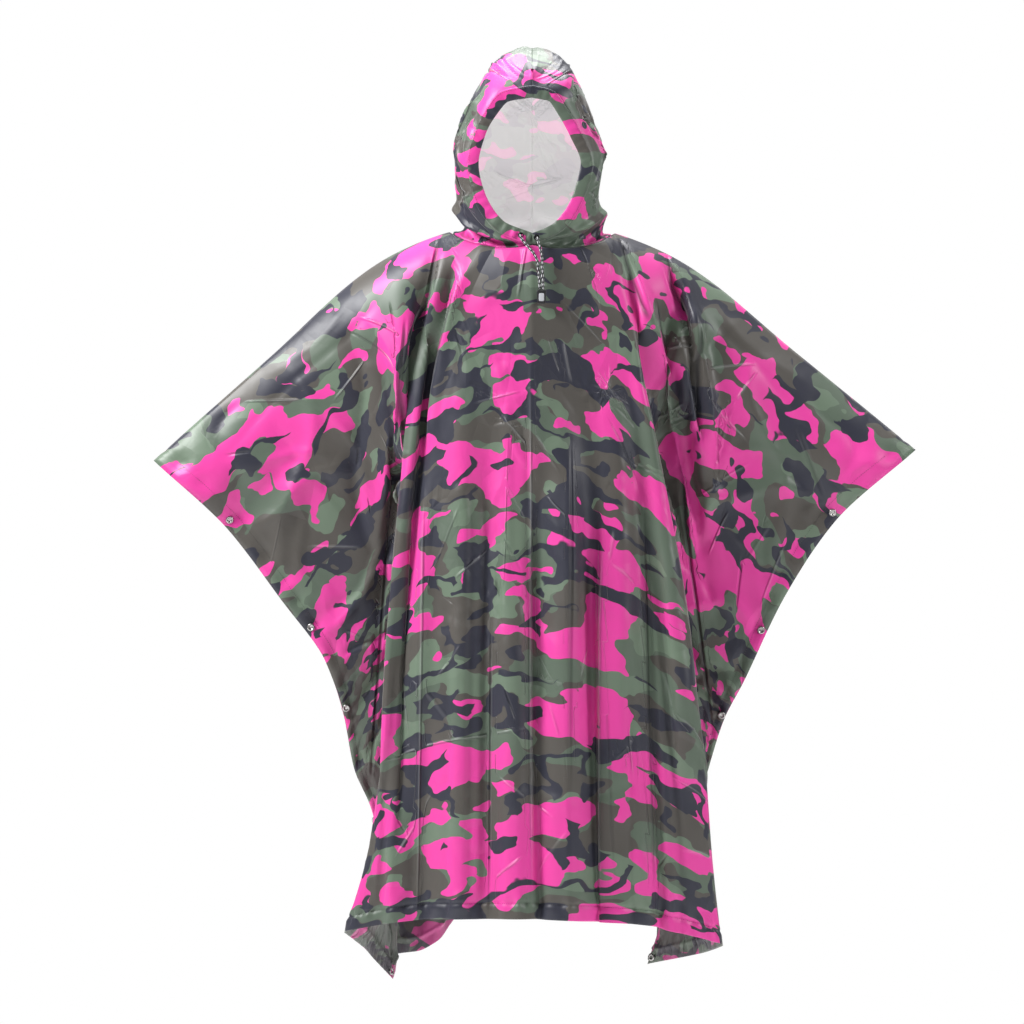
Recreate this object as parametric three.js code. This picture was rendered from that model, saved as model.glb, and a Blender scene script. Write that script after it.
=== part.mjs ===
// A hooded rain poncho, filled out as if worn with the arms held a little away from the sides.
// It is one wide sheet with a hole for the head. The sheet folds over the shoulders, its side edges
// are closed by snaps, and a hood with a drawstring is sewn into the hole.
// Millimetres. The wearer faces -Y, +Z is up, and the origin lies between the tops of the shoulders.
import * as THREE from 'three';

// Driving sizes of the cut
const sheetHalfWidth = 725;
const sheetLength = 1150; // from the fold over the shoulders down to the hem
const wall = 1.6;
const hemWidth = 24;
const hemWall = 2.6; // the cloth is folded double along its hems
const seamGap = 0.3;
const neckHole = { halfWidth: 140, front: 95, back: 70 };
const hoodPleats = 5; // gathered into the neck seam on each side
const hoodPleatRise = 3;
const neckSteps = 20; // straight stretches in half of the neck seam

// How the cloth leaves the shoulder: forward or back first, then down
const shoulderRound = 55;
const neckTop = 40; // height of the fold's line over the middle of the neck hole

// The fold over the shoulders and arms: along = distance over the cloth from the middle
const shoulderLine = {
  left: [
    { along: 0, x: 0, z: neckTop },
    { along: 140, x: -131, z: 12 },
    { along: 243, x: -235, z: -32 },
    { along: 484, x: -420, z: -190 },
    { along: 725, x: -601, z: -351 },
  ],
  right: [
    { along: 0, x: 0, z: neckTop },
    { along: 140, x: 131, z: 10 },
    { along: 240, x: 231, z: -32 },
    { along: 482, x: 420, z: -180 },
    { along: 725, x: 609, z: -334 },
  ],
};

// The side edges, by distance down the cloth. The snaps join front and back here.
const sideEdge = {
  left: [
    { down: 0, x: -601, y: 0, z: -351 },
    { down: 150, x: -490, y: 0, z: -452 },
    { down: 300, x: -398, y: 0, z: -572 },
    { down: 430, x: -329, y: 8, z: -668 },
    { down: 590, x: -299, y: 34, z: -757 },
    { down: 720, x: -284, y: 66, z: -838 },
    { down: 850, x: -252, y: 98, z: -920 },
    { down: 1150, x: -221, y: 150, z: -1181 },
  ],
  right: [
    { down: 0, x: 609, y: 0, z: -334 },
    { down: 150, x: 487, y: 0, z: -440 },
    { down: 300, x: 403, y: 0, z: -563 },
    { down: 450, x: 337, y: 8, z: -700 },
    { down: 590, x: 304, y: 32, z: -765 },
    { down: 720, x: 286, y: 64, z: -822 },
    { down: 850, x: 262, y: 96, z: -905 },
    { down: 1150, x: 184, y: 150, z: -1157 },
  ],
};

// Level sections of each panel. y is the middle's depth. leftX, rightX and cornerY are where the cloth
// turns back at the deep side folds. tuck is how far it then runs inwards behind them, at tuckY.
const frontSections = [
  { down: 0, y: -118, leftX: -190, rightX: 192, cornerY: -66, tuck: -170, tuckY: -52 },
  { down: 150, y: -122, leftX: -192, rightX: 194, cornerY: -78, tuck: -90, tuckY: -50 },
  { down: 300, y: -127, leftX: -207, rightX: 214, cornerY: -84, tuck: -6, tuckY: -34 },
  { down: 450, y: -129, leftX: -223, rightX: 237, cornerY: -88, tuck: 38, tuckY: -20 },
  { down: 600, y: -132, leftX: -238, rightX: 256, cornerY: -90, tuck: 52, tuckY: -5 },
  { down: 750, y: -136, leftX: -249, rightX: 277, cornerY: -88, tuck: 54, tuckY: 16 },
  { down: 900, y: -141, leftX: -257, rightX: 290, cornerY: -82, tuck: 48, tuckY: 40 },
  { down: 1000, y: -146, leftX: -268, rightX: 297, cornerY: -76, tuck: 42, tuckY: 54 },
  { down: 1150, y: -152, leftX: -297, rightX: 310, cornerY: -62, tuck: 34, tuckY: 70 },
];
const backSections = [
  { down: 0, y: 92, leftX: -196, rightX: 196, cornerY: 60, tuck: -170, tuckY: 52 },
  { down: 150, y: 108, leftX: -200, rightX: 198, cornerY: 76, tuck: -90, tuckY: 50 },
  { down: 300, y: 128, leftX: -216, rightX: 214, cornerY: 90, tuck: -6, tuckY: 40 },
  { down: 450, y: 146, leftX: -226, rightX: 228, cornerY: 106, tuck: 34, tuckY: 46 },
  { down: 600, y: 172, leftX: -234, rightX: 238, cornerY: 134, tuck: 44, tuckY: 72 },
  { down: 750, y: 202, leftX: -240, rightX: 246, cornerY: 168, tuck: 46, tuckY: 112 },
  { down: 900, y: 234, leftX: -246, rightX: 252, cornerY: 200, tuck: 44, tuckY: 148 },
  { down: 1150, y: 280, leftX: -256, rightX: 262, cornerY: 244, tuck: 40, tuckY: 196 },
];
const cornerShare = 0.38; // shares of the half width at which the cloth turns back, and out again
const tuckShare = 0.63;
const turnSoftness = 0.045;

// How low the hem hangs across each panel, from 0 at the middle to 1 at the corner
const hemLow = {
  front: {
    left: [
      { across: 0, low: 0 },
      { across: 0.2, low: 0.02 },
      { across: 0.38, low: 0.2 },
      { across: 0.63, low: 0.55 },
      { across: 1, low: 1 },
    ],
    right: [
      { across: 0, low: 0 },
      { across: 0.2, low: 0.12 },
      { across: 0.38, low: 0.5 },
      { across: 0.63, low: 0.74 },
      { across: 1, low: 1 },
    ],
  },
  back: {
    left: [
      { across: 0, low: 0 },
      { across: 0.14, low: 0.2 },
      { across: 0.28, low: 0.72 },
      { across: 0.5, low: 0.84 },
      { across: 1, low: 1 },
    ],
    right: [
      { across: 0, low: 0 },
      { across: 0.2, low: 0.2 },
      { across: 0.4, low: 0.5 },
      { across: 0.63, low: 0.74 },
      { across: 1, low: 1 },
    ],
  },
};
const hemMiddle = { front: -1073, back: -1046 };

// The folds that hang from the shoulders. Each runs down from (x0, z0) to (x1, z1), sideways by bow at
// its middle. wide is its half width and rise its height, which is negative in a valley.
const frontFolds = [
  { x0: -176, z0: 10, x1: -250, z1: -900, bow: -16, wide: 20, rise: 12 },
  { x0: -128, z0: 30, x1: -212, z1: -990, bow: -26, wide: 17, rise: -20 },
  { x0: -104, z0: -60, x1: -128, z1: -1300, bow: -4, wide: 30, rise: 13 },
  { x0: -70, z0: -240, x1: -76, z1: -1300, bow: 0, wide: 24, rise: -12 },
  { x0: -26, z0: -470, x1: -20, z1: -1300, bow: 0, wide: 22, rise: 13 },
  { x0: 12, z0: -330, x1: 18, z1: -1300, bow: -2, wide: 16, rise: -16 },
  { x0: 50, z0: -230, x1: 64, z1: -1300, bow: 4, wide: 24, rise: 18 },
  { x0: 88, z0: -420, x1: 112, z1: -1300, bow: 2, wide: 16, rise: -17 },
  { x0: 128, z0: -60, x1: 162, z1: -1300, bow: 8, wide: 30, rise: 13 },
  { x0: 152, z0: -200, x1: 216, z1: -1300, bow: 2, wide: 20, rise: -12 },
  { x0: 138, z0: 20, x1: 258, z1: -900, bow: 4, wide: 18, rise: 14 },
  { x0: 176, z0: 10, x1: 282, z1: -640, bow: 10, wide: 18, rise: -22 },
  { x0: 215, z0: 0, x1: 262, z1: -520, bow: 24, wide: 20, rise: 14 },
  { x0: -172, z0: -700, x1: -178, z1: -1300, bow: 0, wide: 24, rise: -10 },
];
const backFolds = [
  { x0: -160, z0: 10, x1: -205, z1: -1300, bow: -26, wide: 30, rise: 16 },
  { x0: -118, z0: 0, x1: -152, z1: -1300, bow: -14, wide: 22, rise: -20 },
  { x0: -78, z0: -120, x1: -98, z1: -1300, bow: -4, wide: 28, rise: 22 },
  { x0: -30, z0: -260, x1: -44, z1: -1300, bow: 0, wide: 22, rise: -22 },
  { x0: 12, z0: -180, x1: 8, z1: -1300, bow: 4, wide: 30, rise: 22 },
  { x0: 58, z0: -300, x1: 62, z1: -1300, bow: 2, wide: 22, rise: -22 },
  { x0: 96, z0: -90, x1: 114, z1: -1300, bow: 8, wide: 28, rise: 20 },
  { x0: 130, z0: 0, x1: 164, z1: -1300, bow: 16, wide: 20, rise: -20 },
  { x0: 168, z0: 10, x1: 214, z1: -1300, bow: 24, wide: 28, rise: 16 },
];

// Snaps hold the edges together. Above the first, the edges gape as a cuff does.
const snapsDown = [150, 365, 575, 860];
const snapInset = 12;
const cuffGape = 24;
const edgeGape = 5;
const gapeReach = 0.3; // share of the half width over which the gape closes
const turnedIn = 5; // half the gap between the edges low down, where they are turned inwards
const turnedFrom = 600; // down the cloth, where the edges start to turn in
const turnedBy = 760;

// Where along the cloth its shapes begin and end: down in millimetres, across as a share of the half width
const sectionsBy = 330; // the level sections hold fully from here down
const foldsBy = 120; // the folds reach their full rise here
const foldsEnd = 0.86; // and fade from here out to the side edge
const tuckHalf = 0.1; // either side of the tuck, where the cloth behind has no folds
const tuckFrom = 200;
const tuckBy = 420;
const sweepFrom = 0.15; // the fold's line is drawn in with the edges over this part
const sweepBy = 0.6;

const smooth = (from, to, at) => {
  const share = Math.min(1, Math.max(0, (at - from) / (to - from)));
  return share * share * (3 - 2 * share);
};
const mix = (a, b, share) => a + (b - a) * share;
const steps = (count) => Array.from({ length: count + 1 }, (_, i) => i / count);

// A smooth curve through one column of a table, with no overshoot between its rows
function track(rows, key, column) {
  const x = rows.map((row) => row[key]);
  const y = rows.map((row) => row[column]);
  const step = x.slice(1).map((value, i) => (y[i + 1] - y[i]) / (value - x[i]));
  const slope = y.map((_, i) => {
    const before = step[Math.max(0, i - 1)];
    const after = step[Math.min(step.length - 1, i)];
    return before * after <= 0 ? 0 : (2 * before * after) / (before + after);
  });
  return (at) => {
    let i = 0;
    while (i < x.length - 2 && at > x[i + 1]) i += 1;
    const span = x[i + 1] - x[i];
    const t = Math.min(1, Math.max(0, (at - x[i]) / span));
    return mix(y[i], y[i + 1], t * t * (3 - 2 * t))
      + span * t * (1 - t) * ((1 - t) * slope[i] - t * slope[i + 1]);
  };
}
const tracks = (rows, key) => Object.fromEntries(
  Object.keys(rows[0]).map((column) => [column, track(rows, key, column)]),
);

// Height of the folds over a plain sheet, at a place seen from the front
function foldHeight(folds, x, z) {
  let height = 0;
  for (const fold of folds) {
    const share = (fold.z0 - z) / (fold.z0 - fold.z1);
    if (share <= 0 || share >= 1) continue;
    const line = mix(fold.x0, fold.x1, share) + fold.bow * 4 * share * (1 - share);
    const fade = smooth(0, 0.22, share) * (1 - smooth(0.86, 1, share));
    height += fold.rise * fade * Math.exp(-(((x - line) / fold.wide) ** 2));
  }
  return height;
}

// A point of the bent line through four points, set at the given shares
function bentLine(corners, shares, at) {
  let i = 0;
  while (i < shares.length - 2 && at > shares[i + 1]) i += 1;
  return corners[i].clone().lerp(corners[i + 1], (at - shares[i]) / (shares[i + 1] - shares[i]));
}

// The same line with its turns rounded, by averaging it over a short stretch
function levelLine(corners, shares, at) {
  const offsets = [-1, -0.5, 0, 0.5, 1];
  const sum = new THREE.Vector2();
  for (const offset of offsets) sum.add(bentLine(corners, shares, at + offset * turnSoftness));
  return sum.divideScalar(offsets.length);
}

function gape(down) {
  const stops = [0, ...snapsDown, sheetLength];
  const after = stops.findIndex((stop) => stop > down);
  if (after < 1) return 0;
  const share = (down - stops[after - 1]) / (stops[after] - stops[after - 1]);
  return (after === 1 ? cuffGape : edgeGape) * Math.sin(Math.PI * share);
}

// Inner face of one panel. across runs from -1 at the left edge to 1 at the right, down from the fold.
function panel({ out, sections, folds, low, hem, hole }) {
  const level = tracks(sections, 'down');
  const sides = Object.fromEntries(['left', 'right'].map((side) => [side, {
    top: tracks(shoulderLine[side], 'along'),
    edge: tracks(sideEdge[side], 'down'),
    low: track(low[side], 'across', 'low'),
  }]));
  const shares = [0, cornerShare, tuckShare, 1];
  const point = (across, down) => {
    const name = across < 0 ? 'left' : 'right';
    const hand = across < 0 ? -1 : 1;
    const side = sides[name];
    const share = Math.abs(across);
    const along = share * sheetHalfWidth;
    const cornerX = level[`${name}X`](down);
    const corners = [
      new THREE.Vector2(0, level.y(down)),
      new THREE.Vector2(cornerX, level.cornerY(down)),
      new THREE.Vector2(cornerX - hand * level.tuck(down), level.tuckY(down)),
      new THREE.Vector2(side.edge.x(down), side.edge.y(down)),
    ];
    const line = levelLine(corners, shares, share);
    const tangent = levelLine(corners, shares, share + 0.01).sub(line).normalize();
    const outward = new THREE.Vector2(tangent.y, -tangent.x).multiplyScalar(-hand * out);
    const settled = 1 - Math.exp(-down / shoulderRound);
    const drop = (down - shoulderRound * settled) / (sheetLength - shoulderRound);
    const middleZ = mix(neckTop, hem, drop);
    const topLow = (side.top.z(along) - neckTop) / (side.top.z(sheetHalfWidth) - neckTop);
    const hung = mix(topLow, side.low(share), smooth(0, sheetLength, down));
    const z = mix(middleZ, side.edge.z(down), hung);
    const hidden = smooth(tuckShare - tuckHalf, tuckShare + tuckHalf, share);
    const behind = hidden * smooth(tuckFrom, tuckBy, down);
    const fading = (1 - behind) * smooth(1, foldsEnd, share) * smooth(0, foldsBy, down);
    const height = fading * foldHeight(folds, line.x, z);
    line.addScaledVector(outward, height);
    const swept = (side.edge.x(down) - side.edge.x(0)) * smooth(sweepFrom, sweepBy, share);
    const x = mix(side.top.x(along) + swept, line.x, smooth(0, sectionsBy, down));
    const apart = seamGap / 2 + gape(down) * smooth(1 - gapeReach, 1, share)
      + turnedIn * smooth(turnedFrom, turnedBy, down);
    return new THREE.Vector3(x, line.y * settled + out * apart, z);
  };
  const start = (along) => hole * Math.sqrt(1 - Math.min(1, along / neckHole.halfWidth) ** 2);
  return { out, point, start };
}
const front = panel({
  out: -1, sections: frontSections, folds: frontFolds, low: hemLow.front, hem: hemMiddle.front,
  hole: neckHole.front,
});
const back = panel({
  out: 1, sections: backSections, folds: backFolds, low: hemLow.back, hem: hemMiddle.back,
  hole: neckHole.back,
});

// The outer face of a wall, from its inner face and its thickness at each point
function outerFace(grid, thickness, flip) {
  const at = (i, j) => grid[Math.min(grid.length - 1, Math.max(0, i))].at(Math.max(0, j));
  return grid.map((line, i) => line.map((p, j) => {
    const across = at(i, Math.min(line.length - 1, j + 1)).clone().sub(at(i, j - 1));
    const deep = at(i + 1, j).clone().sub(at(i - 1, j));
    return p.clone().addScaledVector(across.cross(deep).normalize(), (flip ? -1 : 1) * thickness(i, j));
  }));
}

// A closed wall between its inner and outer faces
function cloth(grid, outer, flip) {
  const rows = grid.length;
  const columns = grid[0].length;
  const position = [...grid.flat(), ...outer.flat()].flatMap((p) => [p.x, p.y, p.z]);
  const index = [];
  const quad = (a, b, c, d) => (flip ? index.push(a, b, c, a, c, d) : index.push(a, c, b, a, d, c));
  const inside = (i, j) => i * columns + j;
  const outside = (i, j) => rows * columns + i * columns + j;
  for (let i = 0; i < rows - 1; i += 1) {
    for (let j = 0; j < columns - 1; j += 1) {
      quad(inside(i, j), inside(i, j + 1), inside(i + 1, j + 1), inside(i + 1, j));
      quad(outside(i, j), outside(i + 1, j), outside(i + 1, j + 1), outside(i, j + 1));
    }
  }
  for (let j = 0; j < columns - 1; j += 1) {
    quad(inside(0, j), outside(0, j), outside(0, j + 1), inside(0, j + 1));
    quad(inside(rows - 1, j), inside(rows - 1, j + 1), outside(rows - 1, j + 1), outside(rows - 1, j));
  }
  for (let i = 0; i < rows - 1; i += 1) {
    const last = columns - 1;
    quad(inside(i, 0), inside(i + 1, 0), outside(i + 1, 0), outside(i, 0));
    quad(inside(i, last), outside(i, last), outside(i + 1, last), inside(i + 1, last));
  }
  const geometry = new THREE.BufferGeometry();
  geometry.setAttribute('position', new THREE.Float32BufferAttribute(position, 3));
  geometry.setIndex(index);
  geometry.computeVertexNormals();
  return geometry;
}

// Places across half a panel: close together round the neck hole and the folds, and at the hem
const hemStep = 1.5; // the wall thickens to the hem's over this
function columnsAcross(foldSteps, sleeveSteps) {
  const { halfWidth } = neckHole;
  const folded = 330;
  const hemStart = sheetHalfWidth - hemWidth;
  return [
    ...steps(neckSteps / 2).map((share) => halfWidth * Math.sin(share * Math.PI * 0.5)),
    ...steps(foldSteps).slice(1).map((share) => mix(halfWidth, folded, share)),
    ...steps(sleeveSteps).slice(1).map((share) => mix(folded, hemStart, share)),
    hemStart + hemStep,
    sheetHalfWidth,
  ];
}

function panelWall(which, foldSteps, sleeveSteps, rows) {
  const half = columnsAcross(foldSteps, sleeveSteps);
  const alongs = [...half.slice(1).reverse().map((along) => -along), ...half];
  const hemStart = sheetLength - hemWidth;
  const downs = steps(rows).map((t) => hemStart * (0.55 * t + 0.45 * t * t));
  downs.push(hemStart + hemStep, sheetLength);
  const grid = downs.map((down) => alongs.map((along) => {
    const start = which.start(Math.abs(along));
    return which.point(along / sheetHalfWidth, mix(start, sheetLength, down / sheetLength));
  }));
  const hemmed = (i, j) => i > rows || j < 2 || j > alongs.length - 3;
  const outer = outerFace(grid, (i, j) => (hemmed(i, j) ? hemWall : wall), which.out < 0);
  // A place on the outer face, and the direction out of it there
  const face = (along, down) => {
    const j = alongs.findIndex((value) => value > along) - 1;
    const i = downs.findIndex((value) => value > down) - 1;
    const [topLeft, topRight] = [outer[i][j], outer[i][j + 1]];
    const [lowLeft, lowRight] = [outer[i + 1][j], outer[i + 1][j + 1]];
    const u = (along - alongs[j]) / (alongs[j + 1] - alongs[j]);
    const v = (down - downs[i]) / (downs[i + 1] - downs[i]);
    const place = topLeft.clone().lerp(topRight, u).lerp(lowLeft.clone().lerp(lowRight, u), v);
    const normal = lowRight.clone().sub(topLeft).cross(topRight.clone().sub(lowLeft)).normalize();
    return { place, normal: normal.multiplyScalar(-which.out) };
  };
  return { geometry: cloth(grid, outer, which.out < 0), face };
}

const poncho = new THREE.Group();
const printed = { color: 0x6f6a55, roughness: 0.45, metalness: 0 };
const steel = { color: 0xb9b9b4, roughness: 0.3, metalness: 1 };
const black = { color: 0x17171a, roughness: 0.5, metalness: 0 };
const braid = { color: 0x5a5a5c, roughness: 0.8, metalness: 0 };
function add(name, geometry, finish) {
  const mesh = new THREE.Mesh(geometry, new THREE.MeshStandardMaterial(finish));
  mesh.name = name;
  poncho.add(mesh);
  return mesh;
}

const frontWall = panelWall(front, 9, 8, 20);
const backWall = panelWall(back, 7, 6, 16);
add('front_panel', frontWall.geometry, printed);
add('back_panel', backWall.geometry, printed);

// The hood: two halves with a seam over the head from the forehead to the back of the neck. Each row
// is a curve from the edge of the face opening round the side to that seam. up runs from the neck seam
// at 0 to the forehead at 1. edge is the opening's half width, and widest the half width of the hood.
const hoodSections = {
  left: [
    { up: 0, edge: 6, edgeY: -101, edgeZ: -2, seamY: 66, seamZ: 12, widest: 131 },
    { up: 0.12, edge: 60, edgeY: -97, edgeZ: 18, seamY: 86, seamZ: 54, widest: 124 },
    { up: 0.27, edge: 92, edgeY: -91, edgeZ: 64, seamY: 104, seamZ: 112, widest: 121 },
    { up: 0.42, edge: 103, edgeY: -87, edgeZ: 121, seamY: 113, seamZ: 174, widest: 119 },
    { up: 0.57, edge: 92, edgeY: -88, edgeZ: 168, seamY: 105, seamZ: 237, widest: 107 },
    { up: 0.72, edge: 73, edgeY: -92, edgeZ: 206, seamY: 72, seamZ: 285, widest: 88 },
    { up: 0.86, edge: 46, edgeY: -96, edgeZ: 234, seamY: 6, seamZ: 308, widest: 66 },
    { up: 1, edge: 0.15, edgeY: -99, edgeZ: 242, seamY: -86, seamZ: 268, widest: 0.13 },
  ],
  right: [
    { up: 0, edge: 6, edgeY: -101, edgeZ: -2, seamY: 66, seamZ: 12, widest: 131 },
    { up: 0.12, edge: 52, edgeY: -97, edgeZ: 18, seamY: 86, seamZ: 54, widest: 118 },
    { up: 0.27, edge: 82, edgeY: -91, edgeZ: 64, seamY: 104, seamZ: 112, widest: 106 },
    { up: 0.42, edge: 96, edgeY: -87, edgeZ: 119, seamY: 113, seamZ: 174, widest: 110 },
    { up: 0.57, edge: 79, edgeY: -88, edgeZ: 166, seamY: 105, seamZ: 237, widest: 96 },
    { up: 0.72, edge: 56, edgeY: -92, edgeZ: 206, seamY: 72, seamZ: 285, widest: 79 },
    { up: 0.86, edge: 34, edgeY: -96, edgeZ: 234, seamY: 6, seamZ: 308, widest: 58 },
    { up: 1, edge: 0.15, edgeY: -99, edgeZ: 242, seamY: -86, seamZ: 268, widest: 0.13 },
  ],
};
const hoodRows = 14;
const casingWidth = 18; // of the channel round the face opening, seen from the front
const casingThick = 5;
const hoodPleatsBy = 0.06; // share of the hood's height where the gathers are deepest
const hoodPleatsFrom = 0.1; // and the part over which they fade out
const hoodPleatsEnd = 0.34;
const neckReach = 0.3; // the hood leaves the round of the neck hole over this share of its height
const hoodMiddleY = 10;
const edgeWeight = 0.195; // the hood's level curve is widest where these shares of its edge and its
const handleWeight = 0.669; // handles add up

// The edge of the neck hole, from the front at 0 round one side to the back at 1
function neckEdge(hand, round) {
  const angle = Math.PI * round;
  const which = round < 0.5 ? front : back;
  const along = neckHole.halfWidth * Math.sin(angle);
  return which.point((hand * Math.max(along, 0.1)) / sheetHalfWidth, which.start(along));
}

// The hood's own edge there, set just inside the hole
function neckSeam(hand, round) {
  const ahead = neckEdge(hand, Math.min(1, round + 0.02));
  const behind = neckEdge(hand, Math.max(0, round - 0.02));
  const way = ahead.sub(behind).setZ(0).normalize();
  const inward = new THREE.Vector3(-way.y, way.x, 0).multiplyScalar(hand);
  const p = neckEdge(hand, round).addScaledVector(inward, wall + seamGap);
  p.x = hand * Math.max(seamGap / 2, hand * p.x);
  return p;
}

// One half of the hood, as seen from the front: hand is -1 on the left and 1 on the right
function hoodHalf(hand) {
  const level = tracks(hoodSections[hand < 0 ? 'left' : 'right'], 'up');
  const curve = (up, round) => {
    const edge = new THREE.Vector3(hand * level.edge(up), level.edgeY(up), level.edgeZ(up));
    const seam = new THREE.Vector3(hand * seamGap * 0.5, level.seamY(up), level.seamZ(up));
    const handle = (level.widest(up) - edgeWeight * level.edge(up)) / handleWeight;
    const leave = new THREE.Vector3(hand * handle, mix(edge.y, seam.y, 0.12), mix(edge.z, seam.z, 0.1));
    const arrive = new THREE.Vector3(hand * handle * 0.8, mix(edge.y, seam.y, 0.96), seam.z);
    return new THREE.CubicBezierCurve3(edge, leave, arrive, seam).getPoint(round);
  };
  return (up, round) => {
    const settle = 1 - smooth(0, neckReach, up);
    const p = curve(up, round).addScaledVector(neckSeam(hand, round).sub(curve(0, round)), settle);
    const pleat = Math.cos(2 * Math.PI * hoodPleats * round) - 1;
    const shown = smooth(0, hoodPleatsBy, up) * (1 - smooth(hoodPleatsFrom, hoodPleatsEnd, up));
    const rise = 0.5 * hoodPleatRise * pleat * shown;
    const outward = new THREE.Vector3(p.x, p.y - hoodMiddleY, 0).normalize();
    return p.addScaledVector(outward, rise);
  };
}
const hoodHalves = { hood_left: hoodHalf(-1), hood_right: hoodHalf(1) };
for (const [name, half] of Object.entries(hoodHalves)) {
  const grid = steps(hoodRows).map((up) => steps(neckSteps).map((round) => half(up, round)));
  const flip = name === 'hood_left';
  add(name, cloth(grid, outerFace(grid, () => wall, flip), flip), printed);
}

// The channel round the face opening that the drawstring runs in: a flat tube along the hood's edge
const openingMiddle = new THREE.Vector3(-2, -92, 120);
const hoodUps = steps(hoodRows).slice(1, -1);
const casingEdge = [
  ...hoodUps.map((up) => hoodHalves.hood_left(up, 0)),
  hoodHalves.hood_left(1, 0).setX(0),
  ...hoodUps.map((up) => hoodHalves.hood_right(up, 0)).reverse(),
  hoodHalves.hood_right(0, 0).setX(0),
];
const casingFrames = casingEdge.map((edge, i) => {
  const next = casingEdge[(i + 1) % casingEdge.length];
  const last = casingEdge.at(i - 1);
  const way = next.clone().sub(last).normalize();
  const inward = openingMiddle.clone().sub(edge);
  inward.addScaledVector(way, -inward.dot(way)).normalize();
  const forward = way.clone().cross(inward);
  forward.multiplyScalar(forward.y > 0 ? -1 : 1);
  return { middle: edge.clone().addScaledVector(inward, casingWidth / 2 + seamGap), inward, forward };
});

// A closed tube through rings of points, joined end to end
function loopTube(rings) {
  const sides = rings[0].length;
  const index = [];
  rings.forEach((_, i) => {
    for (let j = 0; j < sides; j += 1) {
      const a = i * sides + j;
      const b = i * sides + ((j + 1) % sides);
      const c = ((i + 1) % rings.length) * sides + j;
      const d = ((i + 1) % rings.length) * sides + ((j + 1) % sides);
      index.push(a, c, b, b, c, d);
    }
  });
  const geometry = new THREE.BufferGeometry();
  const position = rings.flat().flatMap((p) => [p.x, p.y, p.z]);
  geometry.setAttribute('position', new THREE.Float32BufferAttribute(position, 3));
  geometry.setIndex(index);
  geometry.computeVertexNormals();
  return geometry;
}
const casingSides = 8;
const casingRings = casingFrames.map(({ middle, inward, forward }) => steps(casingSides).slice(0, -1)
  .map((turn) => middle.clone()
    .addScaledVector(inward, Math.cos(2 * Math.PI * turn) * casingWidth * 0.5)
    .addScaledVector(forward, Math.sin(2 * Math.PI * turn) * casingThick * 0.5)));
add('hood_casing', loopTube(casingRings), printed);

// Turned fittings: a profile of [radius, height] pairs, which ends on the axis or closes on itself,
// set with its foot on a point and its axis along a direction
function turned(name, profile, foot, axis, finish) {
  const outline = profile.map(([radius, height]) => new THREE.Vector2(radius, height));
  const mesh = add(name, new THREE.LatheGeometry(outline, 12), finish);
  mesh.position.copy(foot);
  mesh.quaternion.setFromUnitVectors(new THREE.Vector3(0, 1, 0), axis);
}
const snapCap = [[0, 0], [6, 0], [6.4, 0.8], [5.4, 1.8], [2.6, 2.4], [0, 2.5]];
const eyelet = [[2.6, 0], [6.2, 0], [6.2, 0.8], [4.4, 1.6], [2.6, 0.8], [2.6, 0]];
const cordEyelet = [[2.9, 0], [4.8, 0], [4.8, 0.7], [3.9, 1.3], [2.9, 0.7], [2.9, 0]];

// Each snap shows a cap on the front and one on the back, and each low corner has an eyelet
const fittingGap = 0.95;
for (const [side, panelFace] of [['front', frontWall.face], ['back', backWall.face]]) {
  for (const [edge, hand] of [['left', -1], ['right', 1]]) {
    const fittings = [
      ...snapsDown.map((down, i) => ({ name: `snap_${side}_${edge}_${i + 1}`, down, profile: snapCap })),
      { name: `corner_eyelet_${side}_${edge}`, down: sheetLength - snapInset, profile: eyelet },
    ];
    for (const { name, down, profile } of fittings) {
      const { place, normal } = panelFace(hand * (sheetHalfWidth - snapInset), down);
      turned(name, profile, place.addScaledVector(normal, fittingGap), normal, steel);
    }
  }
}

// Two cord eyelets in the lower middle of the casing. Each lies between two of its rings.
const cordExits = {
  cord_eyelet_left: { from: casingFrames.at(-1), to: casingFrames[0], share: 0.6 },
  cord_eyelet_right: { from: casingFrames.at(-1), to: casingFrames.at(-2), share: 0.3 },
};
for (const [name, { from, to, share }] of Object.entries(cordExits)) {
  const forward = from.forward.clone().lerp(to.forward, share).normalize();
  const foot = from.middle.clone().lerp(to.middle, share);
  turned(name, cordEyelet, foot.addScaledVector(forward, casingThick / 2 + fittingGap), forward, black);
}

// The drawstring's two ends, which hang down the chest into one flat clamp
const cordRadius = 2.2;
const cordRoutes = {
  drawstring_left: [
    [-19, -101.2, 5.4],
    [-18.8, -104.5, 3.6],
    [-16.5, -107.5, -1],
    [-11, -110.5, -8],
    [-4, -114, -16],
    [3, -117, -25],
    [8, -119.5, -36],
    [9.5, -121, -48],
    [10.6, -122.5, -60],
    [11.6, -124.5, -71],
    [12, -126.5, -81],
  ],
  drawstring_right: [
    [8, -102, 1.8],
    [8.3, -105, -0.5],
    [10, -108.4, -7],
    [12.5, -112, -16],
    [14.8, -115.4, -27],
    [15.4, -118.5, -38],
    [15.6, -121, -50],
    [16.2, -123, -61],
    [16.8, -125, -71],
    [17, -126.5, -81],
  ],
};
for (const [name, route] of Object.entries(cordRoutes)) {
  const section = new THREE.Shape(
    steps(8).slice(0, -1).map((turn) => new THREE.Vector2(cordRadius, 0)
      .rotateAround(new THREE.Vector2(), 2 * Math.PI * turn)),
  );
  const extrudePath = new THREE.CatmullRomCurve3(route.map((point) => new THREE.Vector3(...point)));
  add(name, new THREE.ExtrudeGeometry(section, { steps: 10, extrudePath, curveSegments: 1 }), braid);
}

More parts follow.
